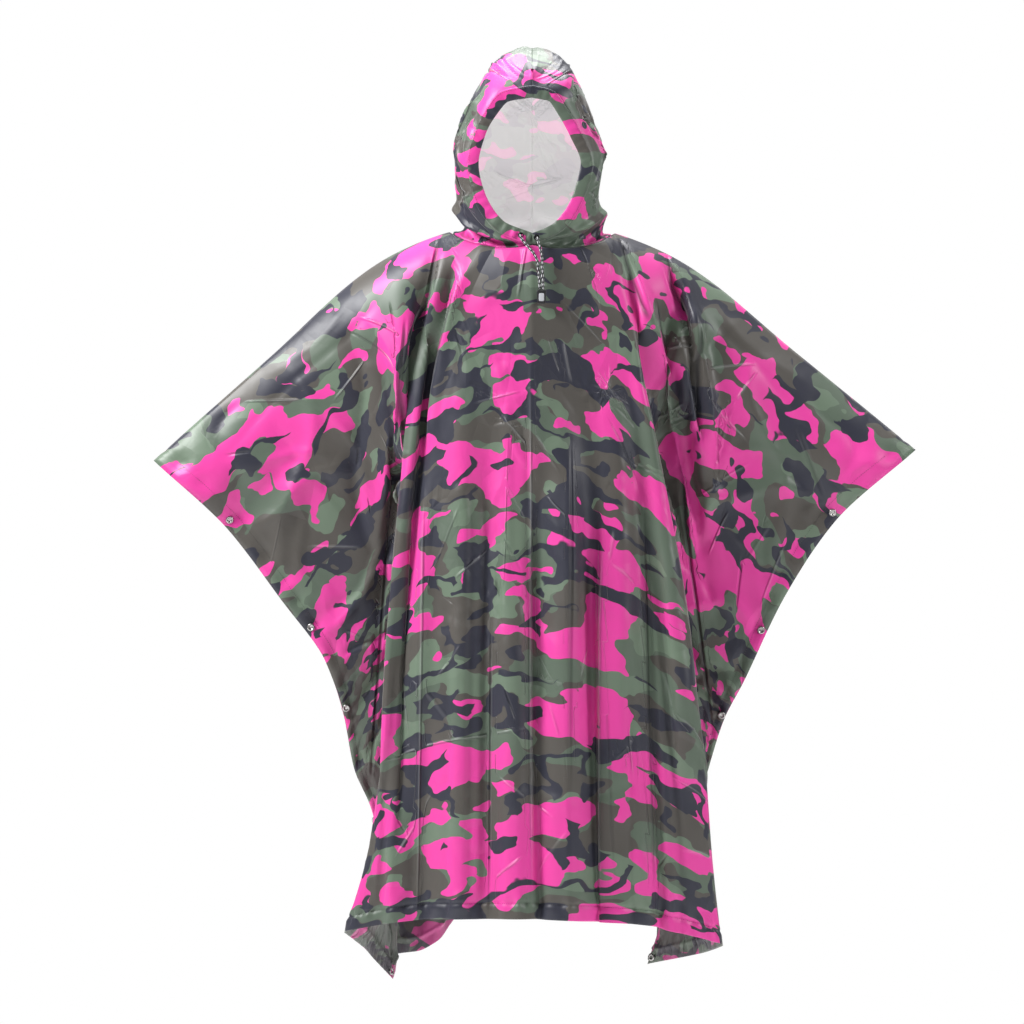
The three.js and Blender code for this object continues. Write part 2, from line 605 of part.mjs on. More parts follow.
// The clamp: a flat rounded block that narrows downwards, with a round button in its face
const clamp = { top: 16, bottom: 12.5, height: 22, thick: 8, corner: 3, x: 14.5, y: -126.5, z: -81.7 };
const clampOutline = new THREE.Shape();
clampOutline.moveTo(-clamp.top / 2 + clamp.corner, 0);
clampOutline.lineTo(clamp.top / 2 - clamp.corner, 0);
clampOutline.quadraticCurveTo(clamp.top / 2, 0, clamp.top / 2, -clamp.corner);
clampOutline.lineTo(clamp.bottom / 2, clamp.corner - clamp.height);
const clampFoot = clamp.bottom / 2;
clampOutline.quadraticCurveTo(clampFoot, -clamp.height, clampFoot - clamp.corner, -clamp.height);
clampOutline.lineTo(clamp.corner - clamp.bottom / 2, -clamp.height);
clampOutline.quadraticCurveTo(-clampFoot, -clamp.height, -clampFoot, clamp.corner - clamp.height);
clampOutline.lineTo(-clamp.top / 2, -clamp.corner);
clampOutline.quadraticCurveTo(-clamp.top / 2, 0, clamp.corner - clamp.top / 2, 0);
const clampBody = new THREE.ExtrudeGeometry(clampOutline, {
  depth: clamp.thick, bevelEnabled: false, curveSegments: 4,
});
const clampMesh = add('cord_end', clampBody, black);
clampMesh.rotation.x = Math.PI / 2;
clampMesh.position.set(clamp.x, clamp.y + clamp.thick / 2, clamp.z);
turned(
  'cord_end_button',
  [[0, 0], [4, 0], [4, 0.8], [2.8, 1.4], [0, 1.5]],
  new THREE.Vector3(clamp.x, clamp.y - clamp.thick / 2 - seamGap, clamp.z - clamp.height / 2),
  new THREE.Vector3(0, -1, 0),
  { color: 0xb4b6ba, roughness: 0.45, metalness: 0 },
);

export default poncho;
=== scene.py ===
import math

import bpy
import numpy as np
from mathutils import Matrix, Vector


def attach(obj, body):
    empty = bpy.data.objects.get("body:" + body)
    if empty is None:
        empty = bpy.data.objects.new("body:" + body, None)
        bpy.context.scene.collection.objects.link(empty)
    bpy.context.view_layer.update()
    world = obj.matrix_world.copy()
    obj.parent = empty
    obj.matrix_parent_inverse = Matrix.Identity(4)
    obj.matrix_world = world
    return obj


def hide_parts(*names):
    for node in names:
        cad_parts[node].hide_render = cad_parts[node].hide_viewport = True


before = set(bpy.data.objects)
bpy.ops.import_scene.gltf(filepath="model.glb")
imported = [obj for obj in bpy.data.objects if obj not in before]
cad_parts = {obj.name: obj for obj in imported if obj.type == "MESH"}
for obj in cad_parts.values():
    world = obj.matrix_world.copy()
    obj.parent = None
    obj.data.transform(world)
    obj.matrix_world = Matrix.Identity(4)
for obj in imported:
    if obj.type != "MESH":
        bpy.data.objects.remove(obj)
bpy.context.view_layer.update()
MM = 0.001

# Studio. The poncho hangs where a wearer's shoulders would hold it, so the floor lies below it.
# The floor and the background are plain white, with a soft light on each side and one above.
FLOOR_Z = -1.62
CAMERA_AWAY = 16.0
FRAME_WIDE = 1.628
FRAME_MIDDLE = Vector((-0.032, 0.0, -0.432))
FLOOR_HALF = 4.0
SENSOR = 36.0
SKY_SEEN = 1.0
SKY_LIGHT = 0.16
FLOOR_GLOW = 0.3
BODY_MIDDLE = (0.0, 0.0, -0.45)
SHOULDERS = (0.0, 0.0, -0.1)
LAMPS = [  # name, place, size, watts, aim
    ("key", (-2.4, -1.1, 1.8), 1.1, 205, BODY_MIDDLE),
    ("side", (2.8, -1.1, 0.8), 0.9, 58, BODY_MIDDLE),
    ("top", (0.1, 0.7, 2.2), 1.8, 115, SHOULDERS),
]
scene = bpy.context.scene
scene.view_settings.view_transform = "Standard"

camera = bpy.data.objects.new("camera", bpy.data.cameras.new("camera"))
camera.data.sensor_width = SENSOR
camera.data.lens = SENSOR * CAMERA_AWAY / FRAME_WIDE
camera.location = FRAME_MIDDLE + Vector((0, -CAMERA_AWAY, 0))
camera.rotation_euler = (math.radians(90), 0, 0)
scene.collection.objects.link(camera)
scene.camera = camera

world = bpy.data.worlds.new("studio")
world.use_nodes = True
sky = world.node_tree.nodes["Background"]
sky.inputs["Color"].default_value = (1.0, 1.0, 1.0, 1.0)
seen = world.node_tree.nodes.new("ShaderNodeLightPath")
level = world.node_tree.nodes.new("ShaderNodeMapRange")
level.inputs["To Min"].default_value = SKY_LIGHT
level.inputs["To Max"].default_value = SKY_SEEN
world.node_tree.links.new(seen.outputs["Is Camera Ray"], level.inputs["Value"])
world.node_tree.links.new(level.outputs[0], sky.inputs["Strength"])
scene.world = world

for name, lamp_at, size, watts, aim in LAMPS:
    light = bpy.data.lights.new(name, "AREA")
    light.shape = "DISK"
    light.size = size
    light.energy = watts
    lamp = bpy.data.objects.new(name, light)
    lamp.location = lamp_at
    lamp.rotation_euler = (Vector(aim) - Vector(lamp_at)).to_track_quat("-Z", "Y").to_euler()
    scene.collection.objects.link(lamp)


def new_mesh(name, points, faces, smooth=True):
    mesh = bpy.data.meshes.new(name)
    mesh.from_pydata([tuple(p) for p in points], [], faces)
    mesh.update()
    if smooth:
        mesh.polygons.foreach_set("use_smooth", [True] * len(mesh.polygons))
    obj = bpy.data.objects.new(name, mesh)
    scene.collection.objects.link(obj)
    return obj


OBJECT_COORDINATES = 3  # the number of that output
MIX_FACTOR, MIX_UNDER, MIX_OVER, MIXED = 0, 6, 7, 2  # the colour sockets of a Mix node


class S:
    """A socket of a shader, with the operators that its maths needs."""

    tree = None  # of the material being made

    def __init__(self, socket):
        self.socket = socket

    @staticmethod
    def node(kind, settings=None, out=0, **sockets):
        made = S.tree.nodes.new(kind)
        for key, value in (settings or {}).items():
            setattr(made, key, value)
        for key, value in sockets.items():
            slot = made.inputs[int(key[1:])] if key[1:].isdigit() else made.inputs[key.replace("_", " ")]
            if isinstance(value, S):
                S.tree.links.new(value.socket, slot)
            else:
                slot.default_value = value
        return S(made.outputs[out])

    @staticmethod
    def maths(operation, *values):
        sockets = {f"i{i}": value for i, value in enumerate(values)}
        return S.node("ShaderNodeMath", {"operation": operation}, **sockets)

    def __add__(self, other):
        return S.maths("ADD", self, other)

    def __sub__(self, other):
        return S.maths("SUBTRACT", self, other)

    def __rsub__(self, other):
        return S.maths("SUBTRACT", other, self)

    def __mul__(self, other):
        return S.maths("MULTIPLY", self, other)

    def __abs__(self):
        return S.maths("ABSOLUTE", self)

    __radd__ = __add__
    __rmul__ = __mul__

    def output(self, number):
        """Another output of the same node."""
        return S(self.socket.node.outputs[number])

    def clipped(self, low, high):
        """0 below low, 1 above high, and a smooth step between."""
        return S.node("ShaderNodeMapRange", {"interpolation_type": "SMOOTHSTEP"},
                      i0=self, i1=low, i2=high)

    def over(self, under, mask):
        """This colour where the mask is 1, and the other where it is 0."""
        sockets = {f"i{MIX_FACTOR}": mask, f"i{MIX_UNDER}": under, f"i{MIX_OVER}": self}
        return S.node("ShaderNodeMix", {"data_type": "RGBA"}, MIXED, **sockets)


def colour(value):
    """A plain colour as a socket that Mix can take."""
    return S.node("ShaderNodeCombineColor", i0=value[0], i1=value[1], i2=value[2])


def noise(where, scale, detail=2.0, rough=0.5, distortion=0.0):
    return S.node("ShaderNodeTexNoise", Vector=where, Scale=scale, Detail=detail,
                  Roughness=rough, Distortion=distortion)


def cell_edges(where, scale):
    """The distance to the nearest edge between cells that lie about 1 / scale apart."""
    return S.node("ShaderNodeTexVoronoi", {"feature": "DISTANCE_TO_EDGE"}, Vector=where, Scale=scale)


def in_object():
    """Places on the piece itself, in metres."""
    return S.node("ShaderNodeTexCoord", out=OBJECT_COORDINATES)


def moved(where, scale=(1, 1, 1), offset=(0, 0, 0)):
    return S.node("ShaderNodeMapping", Vector=where, Scale=scale, Location=offset)


def finish(name, **constants):
    """A new material: its shader's fixed values, ready for links. Returns material and shader."""
    material = bpy.data.materials.new(name)
    material.use_nodes = True
    S.tree = material.node_tree
    shader = S.tree.nodes["Principled BSDF"]
    for key, value in constants.items():
        shader.inputs[key.replace("_", " ")].default_value = value
    return material, shader


def feed(shader, name, value):
    S.tree.links.new(value.socket, shader.inputs[name])


floor_white, _ = finish("studio_white", Base_Color=(0.93, 0.93, 0.93, 1), Roughness=0.9,
                        Emission_Color=(1, 1, 1, 1), Emission_Strength=FLOOR_GLOW)
SQUARE = ((-1, -1), (1, -1), (1, 1), (-1, 1))
floor_corners = [(x * FLOOR_HALF, y * FLOOR_HALF, FLOOR_Z) for x, y in SQUARE]
floor = new_mesh("floor", floor_corners, [(0, 1, 2, 3)], smooth=False)
floor.data.materials.append(floor_white)

# Drawstring. Two ends of black and white braided polyester cord, 4.4 mm thick, come out of eyelets
# in the hood's casing, hang down the chest side by side and end in one clamp.
CORD_RADIUS = 2.2
CORD_ROUTES = {  # x, y, z
    "drawstring_left": [
        (-19, -101.2, 5.4), (-18.8, -104.5, 3.6), (-16.5, -107.5, -1), (-11, -110.5, -8),
        (-4, -114, -16), (3, -117, -25), (8, -119.5, -36), (9.5, -121, -48),
        (10.6, -122.5, -60), (11.6, -124.5, -71), (12, -126.5, -81),
    ],
    "drawstring_right": [
        (8, -102, 1.8), (8.3, -105, -0.5), (10, -108.4, -7), (12.5, -112, -16),
        (14.8, -115.4, -27), (15.4, -118.5, -38), (15.6, -121, -50), (16.2, -123, -61),
        (16.8, -125, -71), (17, -126.5, -81),
    ],
}
CORD_STEPS, CORD_SIDES = 120, 16
PATH_FINENESS = 24
BRAID_STRANDS = 4
BRAID_RISE = 0.28
BRAID_PITCH = 14.0
WHITE_YARN = (0.62, 0.62, 0.64)
BLACK_YARN = (0.012, 0.012, 0.014)


def unit(vectors):
    """The same directions, at length 1."""
    return vectors / np.maximum(np.linalg.norm(vectors, axis=-1, keepdims=True), 1e-9)


def lengths_along(line):
    """How far along a line each of its points lies."""
    return np.r_[0, np.cumsum(np.linalg.norm(np.diff(line, axis=0), axis=1))]


def at_lengths(line, values, lengths):
    """Points, or directions, of a line at some lengths along it."""
    run = lengths_along(line)
    return np.stack([np.interp(lengths, run, values[:, k]) for k in range(3)], axis=1)


def smooth_path(points, count):
    """Evenly spaced points of a Catmull-Rom curve through the given ones."""
    pts = np.array(points, float)
    padded = np.vstack([2 * pts[0] - pts[1], pts, 2 * pts[-1] - pts[-2]])
    fine = []
    for a, b, c, d in zip(padded, padded[1:], padded[2:], padded[3:]):
        t = np.linspace(0, 1, PATH_FINENESS, endpoint=False)[:, None]
        fine.append(0.5 * (2 * b + (c - a) * t + (2 * a - 5 * b + 4 * c - d) * t**2
                           + (3 * b - a - 3 * c + d) * t**3))
    fine = np.vstack([*fine, pts[-1:]])
    length = lengths_along(fine)[-1]
    return at_lengths(fine, fine, np.linspace(0, length, count)), length


def tube(name, path, radius_at, sides):
    """A tube round a path. radius_at gives the radius by step along it and angle round it."""
    count = len(path)
    way = unit(np.gradient(path, axis=0))
    side = unit(np.cross(way, (0.0, 1.0, 0.0)))
    up = np.cross(way, side)
    angle = np.linspace(0, 2 * math.pi, sides, endpoint=False)
    radius = radius_at(np.arange(count)[:, None], angle[None, :])
    rings = (path[:, None, :] + radius[..., None] * (np.cos(angle)[None, :, None] * side[:, None, :]
                                                     + np.sin(angle)[None, :, None] * up[:, None, :]))
    faces = []
    for i in range(count - 1):
        for j in range(sides):
            a, b = i * sides + j, i * sides + (j + 1) % sides
            faces.append((a, b, b + sides, a + sides))
    faces += [tuple(range(sides))[::-1], tuple(range((count - 1) * sides, count * sides))]
    return new_mesh(name, rings.reshape(-1, 3) * MM, faces)


braid, shader = finish("drawstring_braid", Roughness=0.8)
along = S.node("ShaderNodeSeparateXYZ", i0=S.node("ShaderNodeUVMap", {"uv_map": "cord"}))
around = along.output(1)
weave_a = S.maths("SINE", (along + around) * (2 * math.pi))
weave_b = S.maths("SINE", (along - around) * (2 * math.pi))
white = weave_a.clipped(0.25, 0.4) * weave_b.clipped(-0.1, 0.05)
feed(shader, "Base Color", colour(WHITE_YARN).over(colour(BLACK_YARN), white))

for cord_name, route in CORD_ROUTES.items():
    path, length = smooth_path(route, CORD_STEPS)
    step = length / (CORD_STEPS - 1)

    def braided(i, angle, step=step):
        phase = 2 * math.pi * i * step / BRAID_PITCH
        strand = np.sin(angle * BRAID_STRANDS / 2 + phase) * np.sin(angle * BRAID_STRANDS / 2 - phase)
        return CORD_RADIUS - BRAID_RISE * 0.5 + BRAID_RISE * np.abs(strand)

    cord = tube(f"{cord_name}_cord", path, braided, CORD_SIDES)
    uv = cord.data.uv_layers.new(name="cord")
    for loop in cord.data.loops:
        i, j = divmod(loop.vertex_index, CORD_SIDES)
        uv.data[loop.index].uv = (i * step / BRAID_PITCH, j * BRAID_STRANDS / CORD_SIDES)
    cord.data.materials.append(braid)
    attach(cord, "root")
    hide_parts(cord_name)

# Body. One sheet of coated taffeta with a woodland print, folded over the shoulders, so it is two
# panels here. It is cut 1.45 m wide and reaches 1.15 m from the fold to its hem on each side, and
# hangs in deep folds from the neck and from the tops of the arms.
HALF_WIDE = 725.0
LONG = 1150.0
WALL = 1.6
HEM = 24.0
NECK_HALF, NECK_FRONT, NECK_BACK = 140.0, 95.0, 70.0
SHOULDER_ROUND = 55.0
NECK_TOP = 40.0
SHOULDER = {  # along, x, z
    "left": [(0, 0, 40), (140, -131, 12), (243, -235, -32), (484, -420, -190), (725, -601, -351)],
    "right": [(0, 0, 40), (140, 131, 10), (240, 231, -32), (482, 420, -180), (725, 609, -334)],
}
EDGE = {  # down, x, y, z
    "left": [(0, -601, 0, -351), (150, -490, 0, -452), (300, -398, 0, -572), (430, -329, 8, -668),
             (590, -299, 34, -757), (720, -284, 66, -838), (850, -252, 98, -920), (1150, -221, 150, -1181)],
    "right": [(0, 609, 0, -334), (150, 487, 0, -440), (300, 403, 0, -563), (450, 337, 8, -700),
              (590, 304, 32, -765), (720, 286, 64, -822), (850, 262, 96, -905), (1150, 184, 150, -1157)],
}
LEVELS = {  # down, y, leftX, rightX, cornerY, tuck, tuckY
    "front": [(0, -118, -190, 192, -66, -170, -52), (150, -122, -192, 194, -78, -90, -50),
              (300, -127, -207, 214, -84, -6, -34), (450, -129, -223, 237, -88, 38, -20),
              (600, -132, -238, 256, -90, 52, -5), (750, -136, -249, 277, -88, 54, 16),
              (900, -141, -257, 290, -82, 48, 40), (1000, -146, -268, 297, -76, 42, 54),
              (1150, -152, -297, 310, -62, 34, 70)],
    "back": [(0, 92, -196, 196, 60, -170, 52), (150, 108, -200, 198, 76, -90, 50),
             (300, 128, -216, 214, 90, -6, 40), (450, 146, -226, 228, 106, 34, 46),
             (600, 172, -234, 238, 134, 44, 72), (750, 202, -240, 246, 168, 46, 112),
             (900, 234, -246, 252, 200, 44, 148), (1150, 280, -256, 262, 244, 40, 196)],
}
CORNER_SHARE, TUCK_SHARE, TURN_SOFTNESS = 0.38, 0.63, 0.045
HEM_LOW = {  # share of the half width, share of the way from the middle's height to the corner's
    "front": {"left": [(0, 0), (0.2, 0.02), (0.38, 0.2), (0.63, 0.55), (1, 1)],
              "right": [(0, 0), (0.2, 0.12), (0.38, 0.5), (0.63, 0.74), (1, 1)]},
    "back": {"left": [(0, 0), (0.14, 0.2), (0.28, 0.72), (0.5, 0.84), (1, 1)],
             "right": [(0, 0), (0.2, 0.2), (0.4, 0.5), (0.63, 0.74), (1, 1)]},
}
HEM_MIDDLE = {"front": -1073.0, "back": -1046.0}
FOLDS = {  # x0, z0, x1, z1, bow, wide, rise
    "front": [(-176, 10, -250, -900, -16, 20, 12), (-128, 30, -212, -990, -26, 17, -20),
              (-104, -60, -128, -1300, -4, 30, 13), (-70, -240, -76, -1300, 0, 24, -12),
              (-26, -470, -20, -1300, 0, 22, 13), (12, -330, 18, -1300, -2, 16, -16),
              (50, -230, 64, -1300, 4, 24, 18), (88, -420, 112, -1300, 2, 16, -17),
              (128, -60, 162, -1300, 8, 30, 13), (152, -200, 216, -1300, 2, 20, -12),
              (138, 20, 258, -900, 4, 18, 14), (176, 10, 282, -640, 10, 18, -22),
              (215, 0, 262, -520, 24, 20, 14), (-172, -700, -178, -1300, 0, 24, -10)],
    "back": [(-160, 10, -205, -1300, -26, 30, 16), (-118, 0, -152, -1300, -14, 22, -20),
             (-78, -120, -98, -1300, -4, 28, 22), (-30, -260, -44, -1300, 0, 22, -22),
             (12, -180, 8, -1300, 4, 30, 22), (58, -300, 62, -1300, 2, 22, -22),
             (96, -90, 114, -1300, 8, 28, 20), (130, 0, 164, -1300, 16, 20, -20),
             (168, 10, 214, -1300, 24, 28, 16)],
}
SNAPS_DOWN = (150, 365, 575, 860)
SNAP_INSET = 12.0
CUFF_GAPE, EDGE_GAPE, GAPE_REACH, TURNED_IN, SEAM_GAP = 24.0, 5.0, 0.3, 5.0, 0.3
TURNED_IN_OVER = (600, 760)  # mm down
SHOULDER_REACH = 330  # mm down, over which the shoulder's line gives way to the hanging one
TUCK_BLEND = 0.1
TUCK_OVER = (200, 420)  # mm down
SWEPT_OVER = (0.15, 0.6)  # share of the half width, over which the drop pulls a place inwards
PLAIN_EDGE = (0.86, 1)
FOLDS_OVER = (0, 120)  # mm down
SWELL = (0, 0.22)  # the share of a fold's length in which it swells from nothing
STEEP_SIDE = 4.5


def smooth(low, high, at):
    share = np.clip((at - low) / (high - low), 0, 1)
    return share * share * (3 - 2 * share)


def mix(a, b, share):
    return a + (b - a) * share


def bell(off, wide):
    """1 on the line, and less to both sides of it."""
    return np.exp(-((off / wide) ** 2))


def uneven_wave(along, pitch, drift, drift_pitch):
    """A wave whose crests draw together and apart along it."""
    return np.sin(along / pitch + drift * np.sin(along / drift_pitch))


def track(rows, column):
    """A smooth curve through a column of a table, with no overshoot between its rows."""
    x = np.array([row[0] for row in rows], float)
    y = np.array([row[column] for row in rows], float)
    step = np.diff(y) / np.diff(x)
    before, after = np.r_[step[:1], step], np.r_[step, step[-1:]]
    both = np.where(before + after == 0, 1, before + after)
    slope = np.where(before * after <= 0, 0, 2 * before * after / both)

    def at(value):
        i = np.clip(np.searchsorted(x, value, side="left") - 1, 0, len(x) - 2)
        span = x[i + 1] - x[i]
        t = np.clip((value - x[i]) / span, 0, 1)
        return (mix(y[i], y[i + 1], t * t * (3 - 2 * t))
                + span * t * (1 - t) * ((1 - t) * slope[i] - t * slope[i + 1]))
    return at


def level_line(corners, shares, at):
    """A point of the bent line through the corners, set at the shares, with its turns rounded."""
    total = 0
    offsets = (-1, -0.5, 0, 0.5, 1)
    for offset in offsets:
        place = at + offset * TURN_SOFTNESS
        i = np.clip(np.searchsorted(shares, place, side="left") - 1, 0, len(shares) - 2)
        t = ((place - shares[i]) / (shares[i + 1] - shares[i]))[..., None]
        start = np.take_along_axis(corners, i[None, ..., None], 0)[0]
        end = np.take_along_axis(corners, i[None, ..., None] + 1, 0)[0]
        total = total + mix(start, end, t)
    return total / len(offsets)


def fold_height(folds, x, z):
    """Rounded folds and troughs, along bowed lines as seen from the front."""
    height = np.zeros_like(x)
    for x0, z0, x1, z1, bow, wide, rise in folds:
        share = np.clip((z0 - z) / (z0 - z1), 0, 1)
        line = mix(x0, x1, share) + bow * 4 * share * (1 - share)
        fade = smooth(*SWELL, share) * (1 - smooth(0.86, 1, share))
        height += rise * fade * bell(x - line, wide)
    return height


def edge_height(edges, x, z):
    """Folds with a long slope on one side and a steep one on the other."""
    height = np.zeros_like(x)
    for x0, z0, x1, z1, bow, wide, rise in edges:
        share = np.clip((z0 - z) / (z0 - z1), 0, 1)
        off = (mix(x0, x1, share) + bow * 4 * share * (1 - share) - x) * np.sign(wide)
        fade = smooth(*SWELL, share) * (1 - smooth(0.9, 1, share) * 0.7)
        slope = np.exp(-(np.abs(off / wide) ** 1.3))
        height += rise * fade * np.where(off > 0, slope, bell(off, STEEP_SIDE))
    return height


def gape(down):
    """How far front and back stand apart at the side edges between two snaps."""
    stops = (0, *SNAPS_DOWN, LONG)
    total = np.zeros_like(down)
    for i, (start, end) in enumerate(zip(stops, stops[1:])):
        most = CUFF_GAPE if i == 0 else EDGE_GAPE
        inside = (down >= start) & (down < end)
        total += np.where(inside, most * np.sin(np.pi * (down - start) / (end - start)), 0)
    return total


def facing_out(share, down):
    """1 where the cloth faces out, and 0 past the tuck, once that has formed."""
    return 1 - smooth(TUCK_SHARE - TUCK_BLEND, TUCK_SHARE + TUCK_BLEND, share) * smooth(*TUCK_OVER, down)


def panel_points(face, across, down):
    """Points of a panel's inner face: across from -1 at the left edge to 1, and mm down from the fold."""
    out = -1 if face == "front" else 1
    halves = []
    shares = np.array([0, CORNER_SHARE, TUCK_SHARE, 1])
    for side, hand, column in (("left", -1, 2), ("right", 1, 3)):
        share = np.abs(across)
        along = share * HALF_WIDE
        level = [track(LEVELS[face], k)(down) for k in (1, column, 4, 5, 6)]
        middle_y, corner_x, corner_y, tuck, tuck_y = level
        edge = [track(EDGE[side], k) for k in (1, 2, 3)]
        corners = np.stack([
            np.stack([0 * down, middle_y], -1),
            np.stack([corner_x, corner_y], -1),
            np.stack([corner_x - hand * tuck, tuck_y], -1),
            np.stack([edge[0](down), edge[1](down)], -1),
        ])
        line = level_line(corners, shares, share)
        tangent = unit(level_line(corners, shares, share + 0.01) - line)
        outward = np.stack([tangent[..., 1], -tangent[..., 0]], -1) * -hand * out
        settled = 1 - np.exp(-down / SHOULDER_ROUND)
        drop = (down - SHOULDER_ROUND * settled) / (LONG - SHOULDER_ROUND)
        top_x, top_z = track(SHOULDER[side], 1), track(SHOULDER[side], 2)
        top_low = (top_z(along) - NECK_TOP) / (top_z(HALF_WIDE) - NECK_TOP)
        hung = mix(top_low, track(HEM_LOW[face][side], 1)(share), smooth(0, LONG, down))
        z = mix(mix(NECK_TOP, HEM_MIDDLE[face], drop), edge[2](down), hung)
        folded = facing_out(share, down) * (1 - smooth(*PLAIN_EDGE, share)) * smooth(*FOLDS_OVER, down)
        line = line + outward * (folded * fold_height(FOLDS[face], line[..., 0], z))[..., None]
        swept = (edge[0](down) - edge[0](0)) * smooth(*SWEPT_OVER, share)
        x = mix(top_x(along) + swept, line[..., 0], smooth(0, SHOULDER_REACH, down))
        apart = (SEAM_GAP / 2 + gape(down) * smooth(1 - GAPE_REACH, 1, share)
                 + TURNED_IN * smooth(*TURNED_IN_OVER, down))
        halves.append(np.stack([x, line[..., 1] * settled + out * apart, z], -1))
    return np.where((across < 0)[..., None], halves[0], halves[1])


def grid_normals(points):
    wide = np.gradient(points, axis=1)
    deep = np.gradient(points, axis=0)
    return unit(np.cross(wide, deep))


def crease_height(u, v, lines):
    """Soft ridges and troughs along lines of the cloth, which are given in mm across and down."""
    height = np.zeros_like(u)
    for u0, v0, u1, v1, wide, rise in lines:
        way = np.array([u1 - u0, v1 - v0], float)
        length = np.hypot(*way)
        du, dv = u - u0, v - v0
        at = (du * way[0] + dv * way[1]) / length**2
        off = (du * way[1] - dv * way[0]) / length
        near = (np.abs(off) < 4 * wide) & (at > -0.05) & (at < 1.05)
        at, off = at[near], off[near]
        fade = smooth(0, 0.25, at) * (1 - smooth(0.7, 1, at))
        wander = off + wide * 0.9 * np.sin(at * 7 + u0)
        shape = np.exp(-np.abs(wander) / wide * 1.3) - 0.35 * bell(wander / wide, 2.2)
        height[near] += rise * fade * shape
    return height


SLANT_SPREAD = 0.75
CREASE_WIDTHS = (3.5, 8.0)


def crumples(seed, ranges, count, lengths, rises, lean):
    """Small creases of the stiff taffeta at random places, most of them near one slant."""
    rng = np.random.default_rng(seed)
    lines = []
    for _ in range(count):
        u0 = rng.uniform(*ranges[0])
        v0 = rng.uniform(*ranges[1])
        length = rng.uniform(*lengths)
        slant = lean + rng.normal(0, SLANT_SPREAD)
        rise = rng.uniform(*rises) * rng.choice([-1, 1])
        lines.append((u0, v0, u0 + length * math.cos(slant), v0 + length * math.sin(slant),
                      rng.uniform(*CREASE_WIDTHS), rise))
    return lines


GROOVES = {  # x0, z0, x1, z1, bow, wide, rise: sharp edges of the deep folds, seen from the front
    "front": [
        (-146, 20, -252, -900, -24, 9, -22), (-131, 20, -237, -900, -22, 10, 12),
        (-118, -30, -176, -330, -10, 8, -15), (-104, -30, -162, -330, -10, 9, 8),
        (-196, -420, -228, -1150, -4, 9, 6), (-210, -420, -240, -1150, -4, 7, -8),
        (134, 20, 288, -830, 16, 9, -22), (149, 20, 303, -830, 16, 10, 12),
        (196, 10, 268, -330, 18, 8, -18), (210, 10, 282, -330, 18, 10, 10),
        (180, -450, 226, -1150, 4, 9, 6), (192, -450, 240, -1150, 4, 7, -8),
        (-38, -130, -42, -1180, 0, 8, 3), (-4, -200, 2, -1150, 2, 7, -3),
        (113, -330, 120, -1180, 0, 9, 4), (-84, -330, -92, -1180, 0, 8, 4),
        (60, -500, 70, -1180, 0, 8, -3), (-130, -500, -140, -1180, 0, 9, -4),
        (150, -600, 162, -1180, 0, 9, -4),
    ],
    "back": [
        (-130, 10, -200, -1100, -20, 8, -12), (-118, 10, -186, -1100, -20, 9, 7),
        (120, 10, 196, -1150, 18, 8, -12), (108, 10, 184, -1150, 18, 9, 7),
        (-60, -60, -70, -1180, 0, 9, 5), (-46, -60, -56, -1180, 0, 8, -6),
        (40, -100, 52, -1180, 4, 9, 5), (54, -100, 66, -1180, 4, 8, -6), (0, -240, 0, -1180, 0, 8, -4),
        (-190, -300, -220, -1180, 0, 9, 6), (186, -320, 214, -1180, 0, 9, 6),
    ],
}
EDGES = {  # x0, z0, x1, z1, bow, wide, rise: folds with one steep side, which is the right for wide > 0
    "front": [
        (-3, -170, 0, -1120, 2, -34, 6.0), (113, -430, 112, -1120, 0, 30, 6.0),
        (56, -300, 58, -1120, 0, -26, 3.5), (-104, -300, -112, -1120, 0, 30, 4.5),
        (-168, -330, -180, -1120, -4, -28, 5.5), (172, -360, 190, -1120, 4, 26, 5.0),
        (-54, -420, -56, -1120, 0, 22, 2.5),
    ],
    "back": [
        (0, -120, 2, -1120, 0, 34, 6.0), (-90, -240, -98, -1120, 0, -30, 5.0),
        (92, -260, 100, -1120, 0, 30, 5.0), (-160, -200, -176, -1120, -4, 28, 5.0),
        (162, -240, 178, -1120, 4, -28, 5.0),
    ],
}
